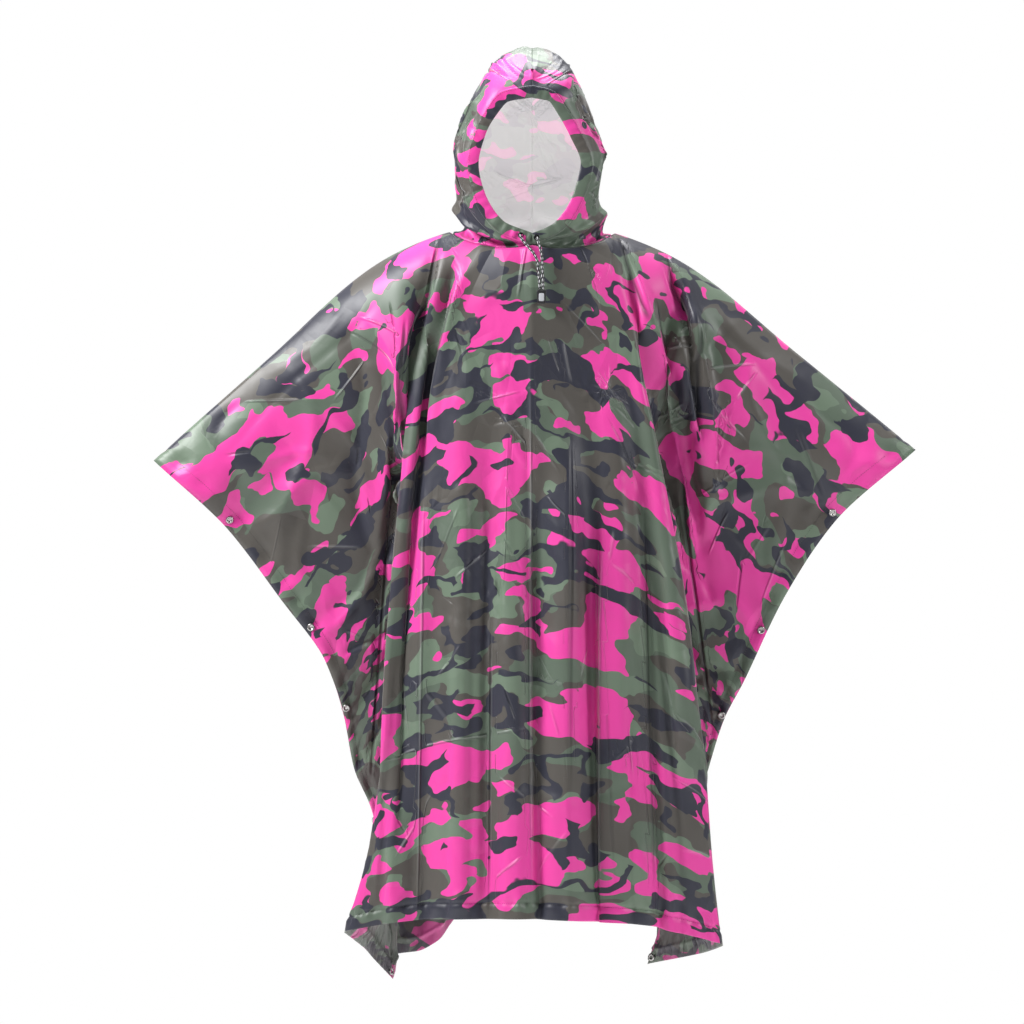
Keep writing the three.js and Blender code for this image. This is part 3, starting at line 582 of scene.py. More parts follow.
PACKED = {  # u0, v0, u1, v1, wide, rise: lines of the cloth in front, and like ones behind
    "front": [
        (-72, 345, 10, 470, 8, 4.5), (-48, 350, 4, 430, 7, -3.0), (20, 500, 66, 590, 7, 3.6),
        (-46, 470, -50, 1130, 7, 2.2), (-60, 620, -150, 700, 8, 3.6), (-248, 631, -68, 709, 8, 3.2),
        (215, 791, 330, 880, 9, 4.0), (-240, 884, -4, 858, 8, -3.2), (145, 603, 290, 614, 8, 3.0),
        (-90, 335, 20, 330, 6, 2.6), (78, 292, 150, 330, 6, -3.0), (90, 330, 160, 290, 6, 3.2),
        (112, 272, 118, 352, 6, 3.0), (84, 312, 170, 312, 6, -2.6), (-150, 230, -60, 300, 8, 2.4),
        (-160, 450, -66, 520, 8, -2.6), (-96, 740, 40, 800, 8, 2.6), (30, 955, 190, 930, 9, -2.8),
        (-230, 980, -60, 1040, 9, 2.8), (80, 640, 190, 720, 8, 2.6), (-20, 905, 90, 1010, 8, 2.8),
        (120, 430, 240, 470, 8, -2.6), (-300, 140, -350, 360, 12, 5.0), (-380, 100, -400, 400, 13, -5.5),
        (-470, 60, -520, 330, 12, 5.0), (-560, 60, -560, 290, 11, -4.5), (-430, 300, -620, 420, 11, 4.5),
        (-520, 350, -690, 380, 10, -4.0), (330, 90, 380, 330, 13, 5.2), (410, 60, 470, 310, 12, -5.0),
        (480, 100, 560, 350, 12, 5.0), (560, 50, 640, 220, 11, 4.5), (440, 340, 640, 400, 11, -4.5),
        (520, 240, 690, 300, 10, 4.0), (-640, 90, -500, 200, 9, 4.0), (640, 110, 480, 190, 9, 4.0),
        (-690, 440, -560, 560, 10, 4.2), (690, 450, 560, 590, 10, -4.2), (-420, 520, -560, 700, 11, 4.0),
        (430, 540, 560, 720, 11, 4.0), (-330, 640, -480, 900, 12, -4.4), (340, 660, 480, 920, 12, 4.4),
        (-260, 60, -700, 70, 10, -3.0), (260, 60, 700, 64, 10, -3.0), (-300, 28, -520, 34, 8, 3.0),
        (300, 30, 560, 36, 8, 3.0), (-600, 180, -690, 330, 9, 3.6), (600, 170, 700, 330, 9, -3.6),
    ],
    "back": [
        (-80, 260, 70, 440, 9, 3.8), (-220, 500, -30, 560, 9, -3.2), (60, 620, 230, 560, 9, 3.6),
        (0, 160, 4, 1120, 8, 2.4), (-240, 700, 220, 712, 9, -2.8), (-250, 940, 40, 900, 9, 3.0),
        (90, 860, 260, 950, 9, -3.2), (-150, 300, -250, 420, 9, 3.0), (130, 240, 260, 380, 9, 3.0),
        (-330, 130, -380, 350, 12, 5.0), (-440, 90, -500, 330, 12, -4.8), (-560, 110, -600, 300, 11, 4.4),
        (340, 110, 400, 330, 12, 5.0), (450, 80, 520, 300, 12, 4.8), (570, 90, 610, 290, 11, -4.4),
        (-430, 380, -640, 440, 11, 4.2), (440, 370, 650, 430, 11, -4.2), (-360, 620, -520, 860, 12, 4.2),
        (360, 640, 520, 880, 12, -4.2), (-100, 760, 60, 1000, 9, 3.0), (-260, 50, -700, 60, 10, -3.0),
        (260, 54, 700, 60, 10, -3.0),
    ],
}
SLEEVE_FOLDS = {  # u0, v0, u1, v1, wide, rise: broad folds of the sleeves
    "front": [
        (-300, 40, -430, 480, 30, 12), (-380, 20, -560, 380, 28, -12), (-450, 10, -700, 300, 30, 11),
        (-330, 120, -620, 560, 26, -10), (-560, 10, -716, 130, 24, -8), (-716, 365, -420, 420, 22, 9),
        (-716, 575, -430, 560, 22, -9), (-716, 150, -470, 240, 24, 9), (-700, 470, -440, 500, 20, -8),
        (300, 40, 430, 480, 30, 12), (370, 20, 540, 400, 28, -12), (440, 10, 700, 280, 30, 12),
        (330, 130, 610, 560, 26, -10), (560, 10, 716, 120, 24, -8), (716, 365, 420, 430, 22, 9),
        (716, 575, 430, 570, 22, -9), (716, 150, 460, 250, 24, 9), (700, 470, 440, 510, 20, -8),
        (-716, 860, -460, 820, 24, 8), (716, 860, 460, 820, 24, 8), (-690, 700, -450, 700, 24, -8),
        (690, 700, 450, 700, 24, -8),
    ],
    "back": [
        (-290, 40, -400, 460, 30, 12), (-370, 20, -520, 400, 28, -12), (-460, 10, -690, 320, 30, 11),
        (290, 40, 400, 460, 30, 12), (370, 20, 520, 400, 28, -12), (460, 10, 690, 320, 30, 11),
        (-716, 365, -420, 440, 22, 9), (716, 365, 420, 440, 22, 9), (-716, 575, -440, 580, 22, -9),
        (716, 575, 440, 580, 22, -9), (-330, 160, -600, 560, 26, -10), (330, 160, 600, 560, 26, -10),
        (-700, 760, -440, 740, 24, 8), (700, 760, 440, 740, 24, 8),
    ],
}
SHARP = {  # u0, v0, u1, v1, wide, rise: thin sharp creases of the cloth, as far as they show in front
    "front": [
        (-62, 360, 6, 431, 5, 2.6), (27, 489, 71, 527, 5, 2.6), (-48, 397, -48, 655, 4, 1.6),
        (-81, 567, -141, 614, 5, 2.4), (-125, 334, -20, 328, 4, 1.6), (130, 270, 186, 318, 4, 2.0),
        (132, 316, 190, 276, 4, -2.0), (158, 250, 156, 334, 4, 1.8), (118, 296, 196, 300, 4, 1.6),
        (-281, 886, -4, 855, 5, 2.4), (216, 778, 337, 877, 5, 3.0), (204, 894, 347, 930, 5, 2.4),
        (89, 720, 71, 770, 4, 1.8), (-165, 943, -218, 1050, 5, 2.4), (-10, 1050, -63, 1092, 5, 2.2),
        (-345, 60, -262, 190, 5, 2.6), (-375, 60, -322, 190, 5, -2.2), (322, 140, 382, 84, 5, 3.0),
        (390, 270, 440, 228, 4, 2.0), (410, 110, 462, 54, 5, 2.6), (560, 330, 566, 250, 5, 2.2),
        (-560, 30, -500, 90, 5, 2.2), (-640, 260, -548, 330, 5, 2.4), (-440, 270, -396, 312, 4, 2.2),
        (470, 60, 484, 130, 5, 2.4), (430, 140, 540, 150, 4, 2.0), (-470, 120, -380, 110, 4, 2.0),
        (-300, 330, -420, 500, 5, 2.2), (310, 340, 430, 470, 5, 2.2),
        (118, 640, 118, 1120, 4, -1.8), (-230, 700, -210, 860, 4, 1.8), (60, 180, 150, 230, 4, 2.0),
    ],
    "back": [
        (-90, 300, 40, 420, 5, 2.6), (-260, 640, 180, 655, 5, 2.2), (60, 540, 200, 450, 5, 2.4),
        (-180, 860, -60, 960, 5, 2.4), (100, 900, 240, 820, 5, 2.4), (-420, 110, -330, 230, 5, 2.6),
        (360, 90, 430, 220, 5, -2.4), (-560, 240, -470, 330, 5, 2.4), (480, 300, 590, 230, 5, 2.4),
        (0, 200, 2, 1100, 4, 1.6), (-150, 420, -60, 500, 5, 2.2), (90, 250, 190, 330, 5, 2.4),
    ],
}
SHARP_HANGING = {  # x0, z0, x1, z1, wide, rise: sharp edges of the hanging folds, as seen from the front
    "front": [
        (-146, 5, -184, -150, 7, -6), (-200, -120, -214, -330, 7, -6), (-222, -380, -258, -880, 6, -5),
        (-121, -60, -160, -255, 6, -5), (137, 5, 186, -142, 7, -6), (196, -90, 218, -270, 7, -6),
        (226, -320, 290, -800, 6, -5), (212, -20, 246, -130, 6, -5), (262, -120, 270, -330, 6, -4),
        (-3, -170, 0, -1090, 5, 3), (112, -430, 112, -1090, 5, 3), (-168, -360, -182, -1100, 5, 3),
        (176, -380, 190, -1090, 5, -3), (60, -300, 60, -900, 5, -2), (-60, -560, -64, -1080, 6, -3),
    ],
    "back": [
        (-130, 5, -196, -600, 7, -5), (120, 5, 192, -640, 7, -5), (0, -120, 2, -1080, 5, 3),
        (-90, -240, -98, -1080, 5, -3), (92, -260, 100, -1080, 5, 3), (-56, -90, -66, -700, 5, -3),
    ],
}
SHARP_REACH = 10.0  # mm from a sharp crease
HANGING_REACH = 1.6  # widths from the edge of a hanging fold, in which it hides the cloth's own creases


def sharp_creases(u, v, lines):
    """Each place's signed distance to the nearest sharp crease, in widths, and that crease's rise."""
    nearest = np.full(u.shape, 1e3)
    found_off, found_rise = np.full(u.shape, 1e3), np.zeros(u.shape)
    for u0, v0, u1, v1, wide, rise in lines:
        length = math.hypot(u1 - u0, v1 - v0)
        at = ((u - u0) * (u1 - u0) + (v - v0) * (v1 - v0)) / length**2
        off = ((u - u0) * (v1 - v0) - (v - v0) * (u1 - u0)) / length
        distance = np.hypot(off, np.maximum(0, np.abs(at - 0.5) - 0.5) * length)
        nearer = distance < nearest
        nearest[nearer] = distance[nearer]
        found_off[nearer] = off[nearer] / wide
        shown = rise * (1 - smooth(0.5, 1, np.abs(2 * at - 1))) * (distance < SHARP_REACH)
        found_rise[nearer] = shown[nearer]
    return np.stack([found_off, found_rise], -1)


GROUND = (0.066, 0.060, 0.053)
GREEN = (0.080, 0.108, 0.080)
LIGHT_GREEN = (0.110, 0.152, 0.108)
PINK = (0.62, 0.040, 0.275)
NAVY = (0.021, 0.022, 0.035)
PATCHES = [  # colour, how many a metre (across, down, in depth), place in the noise, level, detail
    (GREEN, (9.0, 14.0, 9.0), (3.1, 1.7, 0), 0.525, 0.8),
    (LIGHT_GREEN, (11.0, 17.0, 11.0), (8.2, 4.4, 2), 0.590, 0.8),
    (PINK, (9.0, 15.5, 9.0), (11.3, 5.2, 5), 0.548, 1.0),
    (PINK, (16.0, 24.0, 16.0), (2.3, 7.9, 6), 0.660, 0.8),
]
CLUMPS = ((12.0, 19.0, 12.0), (15.2, 7.7, 9), 0.610, 1.0)  # the same measures, for the near-black
LIMBS = ((10.0, 17.0, 10.0), (2.7, 9.1, 8))
LIMBS_HALF_WIDE = (0.042, 0.045)
LIMBS_SHOWN = ((7.5, 12.0, 7.5), (6.6, 2.2, 3), 0.530, 1.0)
PRINT_EDGE, LIMBS_EDGE = 0.0016, 0.004
PRINT_ROUGH = 0.45
BEND_CELLS, PRINT_BEND = (20, 27, 20), 0.046  # the print's edges are bent this far, in metres
SHEEN_CELLS, SHEEN_SPREAD = (12, 12, 12), 0.16  # patches of more and less gloss
CREASE_SHADE_AND_HIGHLIGHT = [  # painted shade in the hollows of the sharp creases, then a painted highlight on their ridges: colour, how fast it comes with the crease's rise, the most of it
    ((0.008, 0.008, 0.010), -0.2, 0.75),
    ((0.60, 0.62, 0.62), 0.3, 0.14),
]
CREASE_NARROW = 1.45  # how much narrower a sharp crease shows than its table says
DULL = (0.38, (0.10, 0.085, 0.09))  # share and colour of the coating over the print
WAVE_RISE, PACKED_RISE, CRUMPLED_RISE, WEAVE_RISE = 0.0022, 0.0170, 0.0050, 0.00003
SHARP_FACTOR = 1.35
WAVES, PACKED_CELLS, CRUMPLED_CELLS, WEAVE_CELLS = (15, 12, 15), 8.5, 23.0, (900, 900, 900)  # a metre
LONG_CELLS = (1, 0.8, 1)
PACKED_WHERE = ((6, 6, 6), (4, 4, 0))
CRUMPLED_WHERE = ((5, 5, 5), (9, 2, 4))


def crease_relief(cut, near, rise):
    """Heights in metres: soft waves, packed and crumpled creases here and there, weave, sharp creases."""
    waves = noise(moved(cut, WAVES), 1.0, 2.0, 0.5, 0.4)
    packed = cell_edges(moved(cut, LONG_CELLS), PACKED_CELLS)
    some = noise(moved(cut, *PACKED_WHERE), 1.0, 2.0).clipped(0.46, 0.60)
    crumpled = cell_edges(moved(cut, LONG_CELLS, (2, 1, 0)), CRUMPLED_CELLS)
    few = noise(moved(cut, *CRUMPLED_WHERE), 1.0, 1.0).clipped(0.52, 0.66)
    weave = noise(moved(cut, WEAVE_CELLS), 1.0, 1.0)
    height = waves * WAVE_RISE + packed * some * PACKED_RISE + crumpled * few * CRUMPLED_RISE
    return height + weave * WEAVE_RISE + near * rise * (SHARP_FACTOR * MM)


def print_cloth(name, sheen_rough, inside, painted_glow=0.0, in_depth=False):
    """The woodland print, plain on the cloth's right side and under a coat of colour on its inside; on the
    hood's inside that wash is painted light, pale and glowing.

    With in_depth, print and relief follow the places on the piece and not the cloth's own cut.
    """
    material, shader = finish(name, Roughness=sheen_rough, Specular_IOR_Level=0.40, Sheen_Weight=0.22,
                              Sheen_Roughness=0.4)
    if in_depth:
        space = S.node("ShaderNodeSeparateXYZ", i0=in_object())
        cut = S.node("ShaderNodeCombineXYZ", i0=space, i1=space.output(2), i2=space.output(1))
    else:
        cut = S.node("ShaderNodeUVMap", {"uv_map": "cut"})
    warp = noise(moved(cut, BEND_CELLS), 1.0, 1.6, 0.55).output(1)
    bend = S.node("ShaderNodeVectorMath", {"operation": "SCALE"}, i0=warp, Scale=PRINT_BEND)
    where = S.node("ShaderNodeVectorMath", {"operation": "ADD"}, i0=cut, i1=bend)

    def patch(scale, offset, level, detail, edge=PRINT_EDGE):
        field = noise(moved(where, scale, offset), 1.0, detail, PRINT_ROUGH)
        return field.clipped(level - edge, level + edge)

    tone = colour(GROUND)
    for dye, *measures in PATCHES:
        tone = colour(dye).over(tone, patch(*measures))
    limbs = 1 - abs(noise(moved(where, *LIMBS), 1.0, 1.0) - 0.5).clipped(*LIMBS_HALF_WIDE)
    limbs = limbs * patch(*LIMBS_SHOWN, LIMBS_EDGE)
    tone = colour(NAVY).over(tone, S.maths("MAXIMUM", limbs, patch(*CLUMPS)))
    sharp = S.node("ShaderNodeSeparateXYZ", i0=S.node("ShaderNodeUVMap", {"uv_map": "sharp"}))
    near = 1 - (abs(sharp) * CREASE_NARROW).clipped(0, 1)
    rise = sharp.output(1)
    if inside is None:
        # painted shade darkens the hollows of the sharp creases and a painted highlight lightens their ridges
        for painted_crease_light, per_rise, most in CREASE_SHADE_AND_HIGHLIGHT:
            tone = colour(painted_crease_light).over(tone, near * near * (rise * per_rise).clipped(0, 1) * most)
    else:
        # the body's inside gets a coat of colour over the print; the hood's inside gets painted light, a pale
        # wash
        coat_and_painted_light_share, coat_and_painted_light_tone = inside
        tone = colour(coat_and_painted_light_tone).over(tone, coat_and_painted_light_share)
    feed(shader, "Base Color", tone)
    if painted_glow:
        # painted light: the hood's inside glows, though no lamp is in it
        feed(shader, "Emission Color", tone)
        shader.inputs["Emission Strength"].default_value = painted_glow
    gloss = noise(moved(cut, SHEEN_CELLS), 1.0, 3.0) * SHEEN_SPREAD
    feed(shader, "Roughness", gloss + (sheen_rough - SHEEN_SPREAD / 2))
    height = crease_relief(cut, near, rise)
    feed(shader, "Normal", S.node("ShaderNodeBump", Strength=0.75, Distance=1.0, Height=height))
    return material


printed = print_cloth("printed_taffeta", 0.46, None)
printed_inside = print_cloth("printed_taffeta_inside", 0.5, DULL, in_depth=True)


def cloth_grid(name, points, cut, sharp, flip, materials):
    """A shell from a grid of points, with the cloth's own cut and its sharp creases as its UVs."""
    rows, columns = points.shape[:2]
    index = np.arange(rows * columns).reshape(rows, columns)
    a, b, c, d = index[:-1, :-1], index[:-1, 1:], index[1:, 1:], index[1:, :-1]
    quads = np.stack([a, b, c, d] if flip else [a, d, c, b], -1).reshape(-1, 4)
    obj = new_mesh(name, points.reshape(-1, 3) * MM, quads.tolist())
    corner = np.zeros(len(obj.data.loops), int)
    obj.data.loops.foreach_get("vertex_index", corner)
    for layer, values in (("cut", cut * MM), ("sharp", sharp)):
        uv = obj.data.uv_layers.new(name=layer)
        uv.data.foreach_set("uv", values.reshape(-1, 2)[corner].ravel())
    for material in materials:
        obj.data.materials.append(material)
    solid = obj.modifiers.new("thickness", "SOLIDIFY")
    solid.thickness = CLOTH_THICK * MM
    solid.offset = -1
    solid.material_offset = 1
    solid.material_offset_rim = 0
    return obj


CLOTH_THICK = 0.7
CLOTH_LIES = WALL - 0.4  # mm out from the solid's inner face
HEM_RISE = 1.5
HEM_STEP = 2.0
STITCH_SINKS, STITCH_TROUGH = 2.0, 4.0
PUCKER, PUCKER_REACH = 2.6, 15.0
HEM_WAVE = (4.6, 2.4, 37.0)  # pitch, drift and the pitch of that drift
SIDE_WAVE = (9.0, 2.0, 47.0)
FLUTE, FLUTE_RISE = 17.0, 5.4
FLUTES_OVER = (250, 700)  # mm down
FLUTES_WANDER = ((1.2, 61), (0.5, 260))  # how far and at what pitch, across and down
NECK_CALM, NECK_FADE = (0, 60), (5, 70)  # mm below the neck hole, for creases and for folds
EDGE_CALM, CALM_REACH = 0.25, 30  # creases are this low at a sewn edge, and full this far from it
SMALL_CREASES = (260, (40, 150), (0.5, 1.9), 1.2)  # how many, their lengths, rises and slant
SHARP_CREASES = (120, (25, 130), (0.8, 2.2), 1.1)
COLUMNS, ROWS = 246, 198
HEM_ROWS, HEM_FROM = 22, 0.955  # the rows are closer together over the last share of the drop
COLUMNS_EVEN, ROWS_EVEN = 0.62, 0.75  # of the spacing; the rest is closer at the middle and the top
panels = {}
for face, neck_deep, seed in (("front", NECK_FRONT, 11), ("back", NECK_BACK, 23)):
    out = -1 if face == "front" else 1
    spread = np.linspace(-1, 1, COLUMNS + 1)
    spread = spread * mix(np.abs(spread), 1, COLUMNS_EVEN)
    t = np.linspace(0, 1, ROWS - HEM_ROWS + 1)
    t = np.r_[t * mix(t, 1, ROWS_EVEN) * HEM_FROM, np.linspace(HEM_FROM, 1, HEM_ROWS + 1)[1:]]
    across, share = np.meshgrid(spread, t)
    start = neck_deep * np.sqrt(np.clip(1 - (np.abs(across) * HALF_WIDE / NECK_HALF) ** 2, 0, 1))
    down = mix(start, LONG, share)
    along = across * HALF_WIDE
    inner = panel_points(face, across, down)
    normal = grid_normals(inner) * out
    from_hem, from_side = LONG - down, HALF_WIDE - np.abs(along)
    from_edge = np.minimum(from_hem, from_side)
    calm = mix(EDGE_CALM, 1, smooth(0, CALM_REACH, from_edge))
    ranges = ((-HALF_WIDE, HALF_WIDE), (60, LONG))
    small = crumples(seed, ranges, *SMALL_CREASES)
    rise = crease_height(along, down, PACKED[face] + small) * calm * smooth(*NECK_CALM, down - start * 0.98)
    reach = facing_out(np.abs(across), down) * smooth(*NECK_FADE, down - start)
    x, z = inner[..., 0], inner[..., 2]
    rise += reach * fold_height(GROOVES[face], x, z)
    rise += reach * edge_height(EDGES[face], x, z)
    rise += crease_height(along, down, SLEEVE_FOLDS[face]) * calm
    (far_x, pitch_x), (far_z, pitch_z) = FLUTES_WANDER
    flutes = np.sin(x / FLUTE + (far_x * np.sin(x / pitch_x + seed) + far_z * np.sin(z / pitch_z)))
    rise += FLUTE_RISE * flutes * smooth(*FLUTES_OVER, down) * reach
    hem = smooth(HEM + HEM_STEP, HEM - HEM_STEP, from_edge)
    stitch = bell(from_edge - HEM, STITCH_TROUGH)
    wave = np.where(from_hem < from_side, uneven_wave(along, *HEM_WAVE), uneven_wave(down, *SIDE_WAVE))
    pucker = PUCKER * wave * bell(from_edge - HEM, PUCKER_REACH)
    height = CLOTH_LIES + rise + hem * HEM_RISE - stitch * STITCH_SINKS + pucker
    points = inner + normal * height[..., None]
    over_shoulder = np.abs(along[0]) >= NECK_HALF
    points[0, over_shoulder, 1] = 0
    cut = np.stack([along, down * out], -1)
    sharp = sharp_creases(along, down, SHARP[face] + crumples(seed + 1, ranges, *SHARP_CREASES))
    hanging = sharp_creases(x, z, SHARP_HANGING[face])
    sharp = np.where((np.abs(hanging[..., :1]) < HANGING_REACH) & (hanging[..., 1:] != 0), hanging, sharp)
    piece = cloth_grid(f"{face}_cloth", points, cut, sharp, face == "back", [printed, printed_inside])
    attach(piece, "root")
    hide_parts(f"{face}_panel")
    panels[face] = {"points": points, "normal": normal, "along": along, "down": down}

# Hood. Two halves of the same taffeta, joined by a seam over the crown and down the back, and
# gathered into the neck seam. Inside it the print is painted pale and made to glow: painted light, for light
# through the cloth.
HOOD = {  # up, edge, edgeY, edgeZ, seamY, seamZ, widest
    "left": [(0, 6, -101, -2, 66, 12, 131), (0.12, 60, -97, 18, 86, 54, 124),
             (0.27, 92, -91, 64, 104, 112, 121), (0.42, 103, -87, 121, 113, 174, 119),
             (0.57, 92, -88, 168, 105, 237, 107), (0.72, 73, -92, 206, 72, 285, 88),
             (0.86, 46, -96, 234, 6, 308, 66), (1, 0.15, -99, 242, -86, 268, 0.13)],
    "right": [(0, 6, -101, -2, 66, 12, 131), (0.12, 52, -97, 18, 86, 54, 118),
              (0.27, 82, -91, 64, 104, 112, 106), (0.42, 96, -87, 119, 113, 174, 110),
              (0.57, 79, -88, 166, 105, 237, 96), (0.72, 56, -92, 206, 72, 285, 79),
              (0.86, 34, -96, 234, 6, 308, 58), (1, 0.15, -99, 242, -86, 268, 0.13)],
}
HOOD_PLEATS, HOOD_PLEAT_RISE = 5, 3.0
NECK_STEP = 0.02
NECK_REACH = 0.3  # the hood leaves the round of the neck hole over this share of its height
HOOD_MIDDLE_Y = 10
EDGE_WEIGHT, HANDLE_WEIGHT = 0.195, 0.669  # a level is widest where these shares of its ends add up


def neck_edge(hand, turn):
    """The edge of the neck hole, from the front at 0 round one side to the back at 1."""
    angle = np.pi * turn
    along = NECK_HALF * np.sin(angle)
    across = hand * np.maximum(along, 0.1) / HALF_WIDE
    ends = []
    for face, deep in (("front", NECK_FRONT), ("back", NECK_BACK)):
        start = deep * np.sqrt(np.clip(1 - (along / NECK_HALF) ** 2, 0, 1))
        ends.append(panel_points(face, across, start))
    return np.where((turn < 0.5)[..., None], ends[0], ends[1])


def neck_seam(hand, turn):
    """The hood's own lower edge, set just inside the hole."""
    ahead = neck_edge(hand, np.minimum(1, turn + NECK_STEP))
    way = unit((ahead - neck_edge(hand, np.maximum(0, turn - NECK_STEP))) * (1, 1, 0))
    inward = np.stack([-way[..., 1], way[..., 0], 0 * turn], -1) * hand
    p = neck_edge(hand, turn) + inward * (WALL + SEAM_GAP)
    p[..., 0] = hand * np.maximum(SEAM_GAP / 2, hand * p[..., 0])
    return p


def hood_points(hand, up, turn):
    """Points of a hood half's inner face, from the neck at 0 up, and round from the face opening at 0."""
    rows = HOOD["left" if hand < 0 else "right"]

    def curve(up):
        edge_x, edge_y, edge_z, seam_y, seam_z, widest = (track(rows, k)(up) for k in range(1, 7))
        handle = (widest - EDGE_WEIGHT * edge_x) / HANDLE_WEIGHT
        ends = [
            np.stack([hand * edge_x, edge_y, edge_z], -1),
            np.stack([hand * handle, mix(edge_y, seam_y, 0.12), mix(edge_z, seam_z, 0.1)], -1),
            np.stack([hand * handle * 0.8, mix(edge_y, seam_y, 0.96), seam_z], -1),
            np.stack([hand * SEAM_GAP * 0.5 + 0 * up, seam_y, seam_z], -1),
        ]
        t = turn[..., None]
        return (ends[0] * (1 - t) ** 3 + ends[1] * 3 * t * (1 - t) ** 2
                + ends[2] * 3 * t * t * (1 - t) + ends[3] * t**3)

    settle = 1 - smooth(0, NECK_REACH, up)
    p = curve(up) + (neck_seam(hand, turn) - curve(0 * up)) * settle[..., None]
    pleat = np.cos(2 * np.pi * HOOD_PLEATS * turn) - 1
    rise = 0.5 * HOOD_PLEAT_RISE * pleat * smooth(0, 0.06, up) * (1 - smooth(0.1, 0.34, up))
    outward = unit(np.stack([p[..., 0], p[..., 1] - HOOD_MIDDLE_Y, 0 * up], -1))
    return p + outward * rise[..., None]


HOOD_CREASES = {  # u0, v0, u1, v1, wide, rise, with u = 0 at the face opening and v = 0 at the neck
    -1: [(10, 352, 130, 330, 6, 5.5), (4, 330, 120, 300, 6, -5.0), (12, 372, 100, 366, 6, 4.0),
         (20, 318, 150, 262, 7, 5.5), (12, 250, 60, 140, 9, 6.0), (30, 270, 84, 120, 9, -6.0),
         (50, 262, 110, 70, 10, 5.5), (60, 318, 200, 330, 7, 4.0), (5, 130, 60, 60, 8, 5.0),
         (90, 200, 160, 80, 9, -4.5), (150, 300, 280, 200, 9, 4.5), (200, 120, 330, 60, 9, -4.5),
         (220, 260, 330, 160, 9, 4.5), (40, 200, 20, 90, 9, -5.0), (100, 360, 210, 372, 7, -4.0)],
    1: [(8, 345, 110, 322, 6, -5.0), (6, 318, 100, 285, 6, 5.5), (10, 366, 90, 360, 6, 4.0),
        (14, 235, 70, 190, 9, 6.0), (20, 215, 56, 120, 9, -6.5), (44, 240, 96, 90, 10, 5.5),
        (90, 300, 210, 320, 7, -4.0), (6, 120, 62, 56, 8, 5.0), (84, 190, 150, 70, 9, -4.5),
        (150, 290, 270, 190, 9, 4.5), (200, 110, 320, 60, 9, -4.5), (220, 250, 330, 150, 9, 4.5),
        (70, 285, 30, 236, 8, 5.0), (38, 190, 22, 96, 9, -5.0), (96, 352, 200, 366, 7, 4.0)],
}
HOOD_CREASE_RISE = 1.4  # the factor on the rises above
HOOD_CROWN = 320  # mm up, above which there are no sharp creases
HOOD_SMALL_CREASES = ((0, 320), (0, 380)), 120, (25, 90), (0.5, 1.6), 0.3  # where, then as above
HOOD_SHARP_CREASES = ((0, 320), (0, 260)), 40, (20, 80), (0.6, 1.6), 0.2
HOOD_ROWS, HOOD_COLUMNS = 130, 120
SIDE_FADE, FOOT_FADE, CROWN_FADE = 0.05, 0.04, 0.03  # shares over which creases fade to a half's edges
CROWN_CALM = (0.8, 0.93)  # of its height, over which they fade by most of their rise
SEAM_FLAP, SEAM_FLAP_WIDE = 1.1, 5.0
SEAM_STITCH, SEAM_STITCH_IN, SEAM_STITCH_WIDE = 0.5, 9.0, 2.5
WELT, WELT_OVER = 2.4, (0, 0.022)  # the thick seam at the neck, over a share of the hood's height
GATHERS, GATHER_WAVE, GATHERS_OVER = 1.5, (3.4, 1.5, 31.0), (4, 45)
ROLL_HIGH, ROLL_THICK = 13.0, 12.0  # the slack of the hood lies in a roll round the neck
ABOVE_ROLL, DIP_THICK = 27.0, 10.0  # with a dip above it
ROLL_WANDER, ROLL_PITCH = 5.0, 43.0
ROLL_RISE, DIP_RISE = (8, 14), (5.5, 9)  # at the face opening, and round the side
SLACK_OVER = (0.12, 0.3)  # the share of the way round in which the roll grows
HOOD_PAINTED_LIGHT = (0.62, (0.84, 0.85, 0.85))  # share and colour of the painted light over the print, a pale wash
